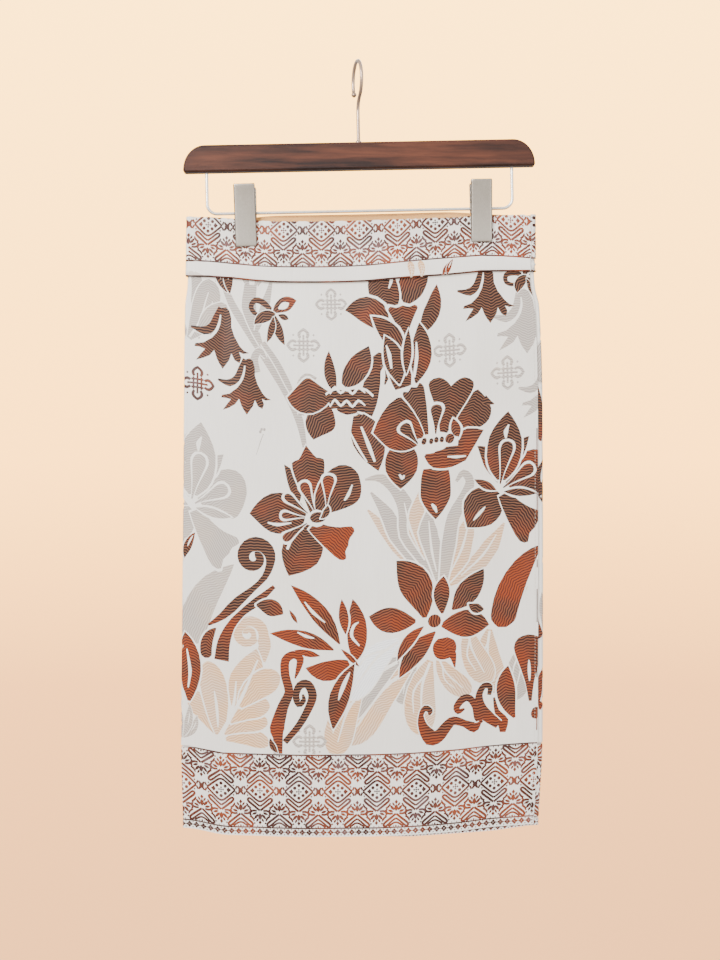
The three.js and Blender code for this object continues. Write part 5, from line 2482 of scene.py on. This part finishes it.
COPPER_RIBS = RibbedThread(
    "copper_ribs",
    dark=(tint(34, 16, 15), tint(70, 25, 15)),
    bright=(tint(114, 73, 50), tint(143, 60, 22)),
    pitch=2.85,
    share=0.2,
    roughness=0.42,
    swell=1.6,
)
SILVER_RIBS = RibbedThread(
    "silver_ribs",
    dark=(tint(158, 148, 141), tint(168, 154, 142)),
    bright=(tint(192, 184, 177), tint(200, 187, 174)),
    pitch=2.5,
    roughness=0.34,
    crisp=1.4,
    gloss=0.5,
)
PEACH_RIBS = RibbedThread(
    "peach_ribs",
    dark=(tint(196, 160, 132), tint(210, 158, 112)),
    bright=(tint(224, 198, 172), tint(236, 196, 150)),
    pitch=2.7,
    roughness=0.36,
    crisp=1.5,
    gloss=0.5,
)
# nearly white glossy ribs: the painted specular highlight on a silver leaf
HIGHLIGHT_RIBS = RibbedThread(
    "painted_highlight_ribs",
    dark=(tint(232, 234, 236), tint(228, 228, 230)),
    bright=(tint(250, 250, 250), tint(246, 246, 248)),
    pitch=2.5,
    roughness=0.26,
    crisp=1.2,
    gloss=0.7,
)


class ClothFinishes:
    """The cloth's materials, made once and given to every piece in the order of its threads."""

    def __init__(self) -> None:
        """Builds the materials."""
        self.order = [
            SatinGround().material(),
            COPPER_RIBS.material(),
            SILVER_RIBS.material(),
            PEACH_RIBS.material(),
            BorderThread().material(),
            HIGHLIGHT_RIBS.material(),
            SatinReverse().material(),
        ]

    def dress(self, piece: bpy.types.Object, ground: Union[bpy.types.Material, None] = None) -> None:
        """Gives a piece its materials.

        Args:
            piece: the piece of cloth.
            ground: a material that stands in for the satin on both sides.
        """
        for thread, material in zip(Thread, self.order):
            plain = ground and thread in (Thread.GROUND, Thread.REVERSE)
            piece.data.materials.append(ground if plain else material)


# ---- The garment ----


@dataclass
class Samping:
    """The wrapped cloth: one body all round, the waist band in two stretches, and its facing."""

    turn_in: float = 21.0
    seam: float = 0.3
    hem_stitch: float = 7.2
    pattern: Pattern = field(default_factory=Pattern)
    finishes: ClothFinishes = field(default_factory=ClothFinishes)

    def build(self) -> list[bpy.types.Object]:
        """Builds and dresses every piece of cloth.

        Returns:
            The pieces.
        """
        body = BodyChart()
        front = BandChart(0.0, CLOTH.to_right - CLOTH.band_edge, "top", self.turn_in)
        back_start = -CLOTH.round_back - CLOTH.band_edge + self.seam
        back = BandChart(back_start, 0.0, "backTop", 0.0)
        facing = FacingChart()
        pale = SewingThread("pale_thread", tint(226, 218, 206), tint(196, 184, 170)).material()
        tan = SewingThread("tan_thread", tint(206, 150, 96), tint(160, 104, 62)).material()
        facing_material = FacingCloth().material()
        made = []
        stitches = self.stitch(body, front, back, facing, pale, tan)
        for name, chart, patches, nodes, slot, ground in [
            ("body_cloth", body, self.pattern.body(body), ("front_body", "under_wrap", "back_body"),
             "body_satin", None),
            ("waist_band_front", front, self.pattern.waist(front), ("waist_front",), "band_satin",
             None),
            ("waist_band_back", back, self.pattern.waist(back), ("waist_back",), "band_satin",
             None),
            ("waist_facing", facing, self.pattern.facing(facing), ("back_facing",), "facing",
             facing_material),
        ]:
            piece = Sheet(name, chart, patches).build()
            self.finishes.dress(piece, ground)
            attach(piece, "root")
            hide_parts(*nodes)
            rows = stitches[name]
            for row in rows:
                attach(row, "root")
            width = (chart.end - chart.start) * MM
            tall, area = self.cut(chart)
            LOG.info("%s: %.3f x %.3f m, %d faces", name, width, tall, len(piece.data.polygons))
            made += [piece, *rows]
        return made

    @staticmethod
    def cut(chart: Chart) -> tuple[float, float]:
        """Measures a chart.

        Args:
            chart: the piece's chart.

        Returns:
            Its greatest height and its area, in metres.
        """
        x, y = chart.outline().T
        area = abs((x * np.roll(y, -1) - np.roll(x, -1) * y).sum()) / 2
        return float(y.max() - y.min()) * MM, float(area) * MM * MM

    def stitch(
        self,
        body: BodyChart,
        front: BandChart,
        back: BandChart,
        facing: FacingChart,
        pale: bpy.types.Material,
        tan: bpy.types.Material,
    ) -> dict[str, list[bpy.types.Object]]:
        """Sews the rows of stitches that show.

        Args:
            body: the body's chart.
            front: the front band's chart.
            back: the back band's chart.
            facing: the facing's chart.
            pale: the thread for the satin.
            tan: the thread for the facing.

        Returns:
            Each piece's rows.
        """

        def level(chart: Chart, height: Union[float, Callable], step: float = 4.0) -> Points:
            """A line along a chart at a height."""
            s = np.arange(chart.start + 1.5, chart.end - 1.5, step)
            rise = height(s) if callable(height) else 0 * s + height
            return np.stack([s, rise], axis=1)

        up = np.arange(2.0, 556.0, 6.0)
        edge, under = (np.stack([0 * up + s, up], axis=1) for s in (body.end - 3.1, body.start + 3.1))
        rows = {
            "body_cloth": [
                run_of_stitches("hem_stitches", body, level(body, self.hem_stitch), -1),
                run_of_stitches("front_edge_stitches", body, edge, 1),
                run_of_stitches("underlap_edge_stitches", body, under, 1),
            ],
            "waist_band_front": [
                run_of_stitches("tuck_stitches_front", front, level(front, 1.6), 1, 1.9, 1.1, 0.26)
            ],
            "waist_band_back": [
                run_of_stitches("tuck_stitches_back", back, level(back, 1.6), 1, 1.9, 1.1, 0.26)
            ],
            "waist_facing": [
                run_of_stitches("facing_top_stitches", facing, level(facing, 22.2), -1),
                run_of_stitches("facing_foot_stitches", facing, level(facing, 1.8), -1),
            ],
        }
        for name, sewn in rows.items():
            for row in sewn:
                row.data.materials.append(tan if name == "waist_facing" else pale)
        return rows


# ---- The hanger ----


def tube(
    name: str, route: Sequence[Sequence[float]], radii: Union[float, Sequence[float]], sides: int = 20
) -> bpy.types.Object:
    """Makes a round rod along a route, with domed ends.

    Args:
        name: the rod's name.
        route: points of its middle line, in millimetres.
        radii: its radius, or one for each point.
        sides: its corners.

    Returns:
        The rod.
    """
    line = [Vector(p) for p in route]
    sizes = [radii] * len(line) if isinstance(radii, float) else list(radii)
    ahead = [(line[min(k + 1, len(line) - 1)] - line[max(k - 1, 0)]).normalized()
             for k in range(len(line))]
    first, last, size0, size1 = line[0], line[-1], sizes[0], sizes[-1]
    domes = [(math.cos(a), math.sin(a)) for a in (0.35, 0.8, 1.2)]
    start = [(first - ahead[0] * size0 * s * 0.7, ahead[0], size0 * c) for c, s in domes[::-1]]
    end = [(last + ahead[-1] * size1 * s * 0.7, ahead[-1], size1 * c) for c, s in domes]
    rings = start + list(zip(line, ahead, sizes)) + end
    side = rings[0][1].orthogonal().normalized()
    points = []
    for centre, way, size in rings:
        side = (side - way * side.dot(way)).normalized()
        other = way.cross(side)
        for k in range(sides):
            angle = 2 * math.pi * k / sides
            spoke = side * math.cos(angle) + other * math.sin(angle)
            points.append((centre + spoke * size) * MM)
    return smoothed(new_mesh(name, points, ring_faces(len(rings), sides)))


def joined(name: str, parts: Sequence[bpy.types.Object]) -> bpy.types.Object:
    """Joins mesh objects into one, with their faces' smoothing kept.

    Args:
        name: the whole's name.
        parts: the objects, which are used up.

    Returns:
        The whole.
    """
    points, faces, smoothing = [], [], []
    for part in parts:
        shift = len(points)
        points += [part.matrix_world @ v.co for v in part.data.vertices]
        faces += [tuple(k + shift for k in p.vertices) for p in part.data.polygons]
        smoothing += [p.use_smooth for p in part.data.polygons]
        bpy.data.objects.remove(part)
    made = new_mesh(name, points, faces)
    made.data.polygons.foreach_set("use_smooth", np.array(smoothing, bool))
    return made


def arc(centre: Vector, radius: float, start: float, end: float, steps: int, right: Vector,
        up: Vector) -> list[Vector]:
    """Points on an arc in the plane of two directions.

    Args:
        centre: its centre.
        radius: its radius.
        start: its first angle, in degrees.
        end: its last.
        steps: how many steps it takes.
        right: the direction of angle 0.
        up: the direction of 90 degrees.

    Returns:
        The points.
    """
    angles = [math.radians(mix(start, end, k / steps)) for k in range(steps + 1)]
    return [centre + right * radius * math.cos(a) + up * radius * math.sin(a) for a in angles]


@dataclass
class Hanger:
    """The wooden bar, its hook, the bent wire under it and two sprung clips that slide on it."""

    tilt: float = 1.14
    wire: float = 3.6
    bend: float = 20.0
    counter_bend: float = 16.0
    tip_drop: float = 31.0
    turn: float = 12.5
    ball: float = 5.4
    shank: float = 14.0
    length: float = 359.0
    height: float = 27.5
    depth: float = 13.0
    top: float = 82.0
    end: float = 22.4
    corner: float = 2.4
    edge: float = 1.7
    frame: float = 3.2
    half: float = 156.0
    frame_corner: float = 10.0
    down: float = 151.6
    insert: float = 10.0
    width: float = 20.8
    sheet: float = 1.2
    above: float = 28.0
    below: float = 34.0
    spread: float = 13.4
    jaw: float = 3.3
    ear: float = 0.9
    boss: float = 3.1
    spring: float = 2.35
    spring_wire: float = 0.5
    spring_length: float = 13.0
    spring_turns: int = 9
    spring_reach: float = 20.0
    clips: tuple = (("clip_left", -117.0, 0.6), ("clip_right", 123.8, -0.4))

    def placed(self, piece: bpy.types.Object, local: Union[Matrix, None] = None) -> bpy.types.Object:
        """Moves a piece from the hanger's own frame into the scene.

        Args:
            piece: the piece.
            local: where it sits in the hanger's frame.

        Returns:
            The piece.
        """
        hung = Matrix.Rotation(-math.radians(self.tilt), 4, "Y")
        piece.data.transform(hung @ (local or Matrix.Identity(4)))
        return piece

    def hook(self) -> bpy.types.Object:
        """The hook: a round bend, a counter bend into the shank, and a ball at the tip."""
        turned = math.radians(self.turn)
        forward, up = Vector((math.sin(turned), -math.cos(turned), 0)), Vector((0, 0, 1))
        centre = Vector((0, 0, self.wire / 2 - self.bend))
        between = self.bend + self.counter_bend
        junction = math.degrees(math.acos(self.counter_bend / between))
        rise = between * math.sin(math.radians(junction))
        counter = centre + forward * self.counter_bend - up * rise
        route = arc(centre, self.bend, 180 + self.tip_drop, -junction, 56, forward, up)
        route += arc(counter, self.counter_bend, 180 - junction, 180, 14, forward, up)[1:]
        foot = -self.top - self.shank
        low = route[-1].z
        route += [Vector((0, 0, mix(low, foot, t))) for t in (0.3, 0.6, 1.0)]
        rod = tube("rod", route, self.wire / 2, 24)
        tip = route[0]
        angles = np.linspace(-80, 80, 13)
        balls = [tip + Vector((0, 0, self.ball / 2 * math.sin(math.radians(a)))) for a in angles]
        sizes = [self.ball / 2 * math.cos(math.radians(a)) for a in angles]
        knob = tube("knob", balls, sizes, 24)
        collar = tube("collar", [(0, 0, -self.top + 0.9), (0, 0, -self.top + 0.1)], 3.1, 24)
        return self.placed(joined("hook_rod", [rod, knob, collar]))

    def bar_outline(self) -> list[tuple[float, float, float, float]]:
        """The bar's outline: points and the directions out of it."""
        half, rise = self.length / 2, self.height - self.corner
        centres = [
            (half - self.corner, self.corner, self.corner, self.corner, -90, 0, 6),
            (half - self.end, self.corner, self.end, rise, 0, 90, 22),
            (-half + self.end, self.corner, self.end, rise, 90, 180, 22),
            (-half + self.corner, self.corner, self.corner, self.corner, 180, 270, 6),
        ]
        found = []
        for x, z, wide, tall, start, end, steps in centres:
            for k in range(steps + 1):
                angle = math.radians(mix(start, end, k / steps))
                out = Vector((math.cos(angle) / wide, math.sin(angle) / tall)).normalized()
                found.append((x + wide * math.cos(angle), z + tall * math.sin(angle), out.x, out.y))
        return found

    def bar(self) -> bpy.types.Object:
        """The bar: quarter-ellipse ends and softly rounded edges."""
        outline = self.bar_outline()
        angles = np.linspace(0, math.pi / 2, 6)
        layers = [(self.edge * (1 - math.sin(a)), -self.depth / 2 + self.edge * (1 - math.cos(a)))
                  for a in angles]
        layers += [(inset, -y) for inset, y in layers[::-1]]
        points, count = [], len(outline)
        for inset, y in layers:
            for x, z, out_x, out_z in outline:
                height = z - out_z * inset - self.top - self.height
                points.append(((x - out_x * inset) * MM, y * MM, height * MM))
        faces = ring_faces(len(layers), count)
        caps = [face[::-1] for face in faces[-2:]]
        return self.placed(smoothed(new_mesh("wooden_bar", points, faces[:-2] + caps), 2))

    def frame_wire(self) -> bpy.types.Object:
        """The bent wire that the clips slide on."""
        right, up = Vector((1, 0, 0)), Vector((0, 0, 1))
        leg = -self.top - self.height + self.insert
        reach = self.half - self.frame_corner
        low = Vector((0, 0, self.frame_corner - self.down))
        route = [Vector((-self.half, 0, leg)), Vector((-self.half, 0, mix(leg, low.z, 0.5)))]
        route += arc(low - right * reach, self.frame_corner, 180, 270, 12, right, up)
        middle = [Vector((x, 0, -self.down)) for x in np.linspace(-reach, reach, 9)[1:-1]]
        route += middle + arc(low + right * reach, self.frame_corner, 270, 360, 12, right, up)
        route += [Vector((self.half, 0, mix(leg, low.z, 0.5))), Vector((self.half, 0, leg))]
        return self.placed(tube("frame_wire", route, self.frame / 2, 24))

    def inside(self, z: float) -> float:
        """How far the inside of the front plate stands from the middle at a height."""
        slope = (self.spread - self.jaw) / (self.above + self.below)
        return self.jaw + (z + self.below) * slope

    def plate(self, name: str, ear_place: float) -> bpy.types.Object:
        """Builds one half of a clip: a pressed plate with rolled sides, a lip, and two ears.

        Args:
            name: the piece's name.
            ear_place: how far each ear lies from the middle.

        Returns:
            The half.
        """
        half, bend = self.width / 2, 1.3
        rows = np.concatenate([
            np.linspace(-self.below, -self.below + 1.2, 3)[:-1],
            np.linspace(-self.below + 1.2, self.above - 1.6, 22),
            np.linspace(self.above - 1.6, self.above, 4)[1:],
        ])
        points, faces = [], []
        columns = 0
        for z in rows:
            depth = min(2.9, 0.7 * (self.inside(z) - self.jaw))
            back = max(0.0, depth - bend)
            nip = 0.5 * max(0.0, 1 - (z + self.below) / 1.2) ** 2
            nip += 0.6 * max(0.0, 1 - (self.above - z) / 1.6) ** 2
            roll = min(bend, depth) * 0.98
            section = [(-half, roll + back), (-half, roll + back * 0.5), (-half, roll)]
            for angle in np.linspace(0, 90, 6)[1:]:
                a = math.radians(angle)
                section.append((-half + bend * (1 - math.cos(a)), roll * (1 - math.sin(a))))
            crown = [(-half * t, -0.18 * (1 - t * t)) for t in (0.75, 0.5, 0.25)]
            left = section + crown
            whole = left + [(0.0, -0.18)] + [(-x, y) for x, y in left[::-1]]
            columns = len(whole)
            for x, y in whole:
                squeeze = 1 - nip / half
                y_place = -self.inside(z) - self.sheet / 2 + y + nip * 0.5
                points.append((x * squeeze * MM, y_place * MM, z * MM))
        for r in range(len(rows) - 1):
            for c in range(columns - 1):
                a = r * columns + c
                faces.append((a, a + 1, a + 1 + columns, a + columns))
        skin = new_mesh("skin", points, faces)
        thick = skin.modifiers.new("sheet", "SOLIDIFY")
        thick.thickness, thick.offset = self.sheet * 0.85 * MM, 0
        evaluated = skin.evaluated_get(bpy.context.evaluated_depsgraph_get())
        solid = bpy.data.meshes.new_from_object(evaluated)
        bpy.data.objects.remove(skin)
        shell = bpy.data.objects.new("shell", solid)
        bpy.context.scene.collection.objects.link(shell)
        smoothed(shell)
        parts = [shell] + [self.ear_plate(side * ear_place) for side in (-1, 1)]
        made = joined(name, parts)
        place = np.zeros(len(made.data.vertices) * 3)
        made.data.vertices.foreach_get("co", place)
        x, y, z = place.reshape(-1, 3).T / MM
        # where each point lies across, out and up the plate; the brushed finish paints its light by
        # these
        shares = np.stack([abs(x) / half, y, (z + self.below) / (self.below + self.above)], axis=1)
        marked = made.data.attributes.new("plate", "FLOAT_VECTOR", "POINT")
        marked.data.foreach_set("vector", shares.astype(np.float32).ravel())
        return made

    def ear_plate(self, x: float) -> bpy.types.Object:
        """Builds an ear that turns on the wire, with a raised collar round its hole.

        Args:
            x: where it lies across the clip.

        Returns:
            The ear.
        """
        top, foot = 12.0, -2.5
        outline = [(-self.inside(top) - 0.4, top), (-self.inside(foot) - 0.4, foot)]
        angles = np.linspace(-0.6 * math.pi, 0.42 * math.pi, 15)
        outline += [(self.boss * math.cos(a), self.boss * math.sin(a)) for a in angles]
        count = len(outline)
        points = [((x + side * self.ear / 2) * MM, y * MM, z * MM)
                  for side in (-1, 1) for y, z in outline]
        faces = [tuple(range(count))[::-1], tuple(range(count, 2 * count))]
        faces += [(k, (k + 1) % count, (k + 1) % count + count, k + count) for k in range(count)]
        ear = new_mesh("ear", points, faces)
        reach = self.ear / 2 + 0.35
        collar = tube("ear_collar", [(x - reach, 0, 0), (x + reach, 0, 0)], 2.35, 20)
        return joined("ear", [ear, collar])

    def coil(self, name: str) -> bpy.types.Object:
        """Winds a torsion spring round the wire, with a leg pressing on each plate.

        Args:
            name: the piece's name.

        Returns:
            The spring.
        """
        half = self.spring_length / 2
        turns = self.spring_turns
        steps = turns * 16
        legs = []
        for side in (-1, 1):
            x = side * half
            gap = self.inside(self.spring_reach) - self.spring_wire - 0.3
            legs.append([Vector((x, -side * gap, self.spring_reach)),
                         Vector((x, -side * mix(self.spring, gap, 0.5), mix(1.2, 20, 0.48)))])
        route = legs[0][:]
        for k in range(steps + 1):
            angle = 2 * math.pi * turns * k / steps
            x = mix(-half, half, k / steps)
            route.append(Vector((x, self.spring * math.cos(angle), -self.spring * math.sin(angle))))
        route += legs[1][::-1]
        return tube(name, route, self.spring_wire, 10)

    def build(self) -> list[bpy.types.Object]:
        """Builds and dresses the hanger.

        Returns:
            The pieces.
        """
        nickel, brushed = PlatedWire().material(), BrushedPlate().material()
        # the hook's warm, darker nickel is a painted reflection of the peach wall
        warm_reflection_nickel = PlatedWire("nickel_painted_warm_reflection", tint(206, 180, 160), tint(112, 86, 72)).material()
        rows = [
            (self.hook(), "hook", "nickel", warm_reflection_nickel),
            (self.bar(), "hanger_bar", "walnut", Walnut().material()),
            (self.frame_wire(), "hanger_wire", "nickel", nickel),
        ]
        outer, inner = self.width / 2 - self.ear / 2 - 0.6, self.width / 2 - self.ear * 2 - 0.5
        for name, x, lean in self.clips:
            seat = Matrix.Translation(Vector((x, 0, -self.down)) * MM)
            seat = seat @ Matrix.Rotation(-math.radians(lean), 4, "Y")
            back = seat @ Matrix.Rotation(math.pi, 4, "Z")
            for piece, node, place in [
                (self.plate(f"{name}_front_plate", outer), f"{name}_front", seat),
                (self.plate(f"{name}_back_plate", inner), f"{name}_back", back),
            ]:
                rows.append((self.placed(piece, place), node, "brushed_nickel", brushed))
            coil = self.placed(self.coil(f"{name}_coil"), seat)
            rows.append((coil, f"{name}_spring", "nickel", nickel))
        for piece, node, slot, material in rows:
            piece.data.materials.append(material)
            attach(piece, "root")
            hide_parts(node)
            LOG.info("%s stands for %s", piece.name, node)
        return [row[0] for row in rows]


# ---- The studio ----


@dataclass
class Studio:
    """A plain pale floor that sweeps up into a round wall, soft lamps and the camera."""

    floor: float = -1.45
    radius: float = 2.9
    sweep: float = 1.2
    wall_top: float = 2.4
    camera_distance: float = 1.6
    frame_height: float = 0.982
    look_at: Vec = (0.00307, -0.4266)
    wall: Colour = tint(214, 172, 132)
    strength: float = 7.0
    bright_from: float = 0.95
    # the wall's emission: painted light, dimmer towards the floor
    painted_glow: tuple = (
        (0.0, (0.21, 0.072, 0.012)),
        (0.2, (0.33, 0.128, 0.024)),
        (0.45, (0.78, 0.36, 0.06)),
        (1.0, (1.0, 0.54, 0.1)),
    )
    air_strength: float = 1.4
    air: tuple = (
        (0.0, (0.34, 0.27, 0.21)),
        (0.52, (0.86, 0.82, 0.775)),
        (1.0, (1.0, 0.985, 0.965)),
    )

    def sweep_surface(self) -> bpy.types.Object:
        """The floor and wall, which glow with painted light that fades towards the floor."""
        corner = [(self.radius - self.sweep + self.sweep * math.sin(a),
                   self.floor + self.sweep * (1 - math.cos(a)))
                  for a in np.linspace(0, math.pi / 2, 14)]
        profile = [(0.0004, self.floor), (0.8, self.floor), *corner, (self.radius, self.wall_top)]
        sides = 96
        spokes = [polar(360 * k / sides, 1.0) for k in range(sides)]
        points = [(out * x, out * y, z) for out, z in profile for x, y in spokes]
        made = smoothed(new_mesh("studio_sweep", points, ring_faces(len(profile), sides, False)))
        recipe = Recipe("studio_wall")
        place = recipe.node("ShaderNodeTexCoord").outputs["Object"]
        rise = ((recipe.parts(place)[2] - self.floor) / (self.bright_from - self.floor)).held()
        painted_glow = recipe.node("ShaderNodeValToRGB", {"stops": self.painted_glow}, {"Fac": rise})
        made.data.materials.append(recipe.finish(
            Base_Color=self.wall,
            Roughness=0.9,
            Specular_IOR_Level=0.0,
            Emission_Color=painted_glow.outputs["Color"],
            Emission_Strength=self.strength,
        ))
        made.visible_diffuse = made.visible_glossy = False
        made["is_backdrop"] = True
        return made

    @staticmethod
    def lamp(name: str, place: Sequence[float], aim: Sequence[float], size: tuple[float, float],
             power: float, colour: Colour) -> None:
        """Adds a soft lamp.

        Args:
            name: its name.
            place: where it stands.
            aim: what it points at.
            size: its width and height.
            power: its power in watts.
            colour: its light.
        """
        data = bpy.data.lights.new(name, "AREA")
        data.shape = "RECTANGLE"
        data.size, data.size_y = size
        data.energy, data.color = power, colour
        lamp = bpy.data.objects.new(name, data)
        lamp.location = place
        lamp.rotation_mode = "QUATERNION"
        way = Vector(aim) - Vector(place)
        lamp.rotation_quaternion = way.to_track_quat("-Z", "Y")
        lamp.visible_camera = False
        bpy.context.scene.collection.objects.link(lamp)

    def fill_air(self) -> None:
        """Lights the air softly, less from the floor than from the ceiling."""
        world = bpy.data.worlds.new("studio_air")
        world.use_nodes = True
        nodes = Nodes(world.node_tree)
        place = nodes.node("ShaderNodeTexCoord").outputs["Generated"]
        rise = nodes.node("ShaderNodeSeparateXYZ", {}, {0: place}).outputs["Z"]
        spread = nodes.node("ShaderNodeMapRange", {}, {"Value": rise, "From Min": -1.0})
        inputs = {"Fac": spread.outputs["Result"]}
        ramp = nodes.node("ShaderNodeValToRGB", {"stops": self.air}, inputs)
        background = world.node_tree.nodes["Background"]
        nodes.feed(background.inputs["Color"], ramp.outputs["Color"])
        nodes.feed(background.inputs["Strength"], self.air_strength)
        bpy.context.scene.world = world

    def build(self) -> None:
        """Builds the floor, the lamps and the camera."""
        self.sweep_surface()
        middle = (0, 0, -0.42)
        self.lamp("key_lamp", (-1.2, -1.6, 0.7), middle, (1.2, 1.4), 98, (1.0, 0.98, 0.955))
        self.lamp("fill_lamp", (1.5, -1.5, 0.0), middle, (1.5, 2.0), 20, (1.0, 0.985, 0.965))
        self.lamp("back_lamp", (0.3, 1.7, 0.8), middle, (1.8, 1.4), 40, (1.0, 0.985, 0.965))
        self.fill_air()
        data = bpy.data.cameras.new("front_camera")
        data.sensor_fit = "VERTICAL"
        data.sensor_width = data.sensor_height = 36
        data.lens = 18 * self.camera_distance / (self.frame_height / 2)
        data.clip_start, data.clip_end = 0.05, 30
        camera = bpy.data.objects.new("front_camera", data)
        camera.location = (self.look_at[0], -self.camera_distance, self.look_at[1])
        camera.rotation_euler = (math.pi / 2, 0, 0)
        bpy.context.scene.collection.objects.link(camera)
        bpy.context.scene.camera = camera


def corners(box: Iterable[Vector]) -> list[list[float]]:
    """A box's corners as plain lists."""
    return [[float(v) for v in corner] for corner in box]


def main() -> None:
    """Loads the frame, builds the garment, the hanger and the studio, and notes the sizes."""
    logging.basicConfig(level=logging.INFO, format="%(name)s: %(message)s")
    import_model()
    cad_box = corners(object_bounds())
    pieces = Samping().build() + Hanger().build()
    Studio().build()
    LOG.info("%d pieces, %d faces", len(pieces), sum(len(p.data.polygons) for p in pieces))
    {"cad": cad_box, "visual": corners(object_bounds())}


if __name__ == "__main__":
    main()
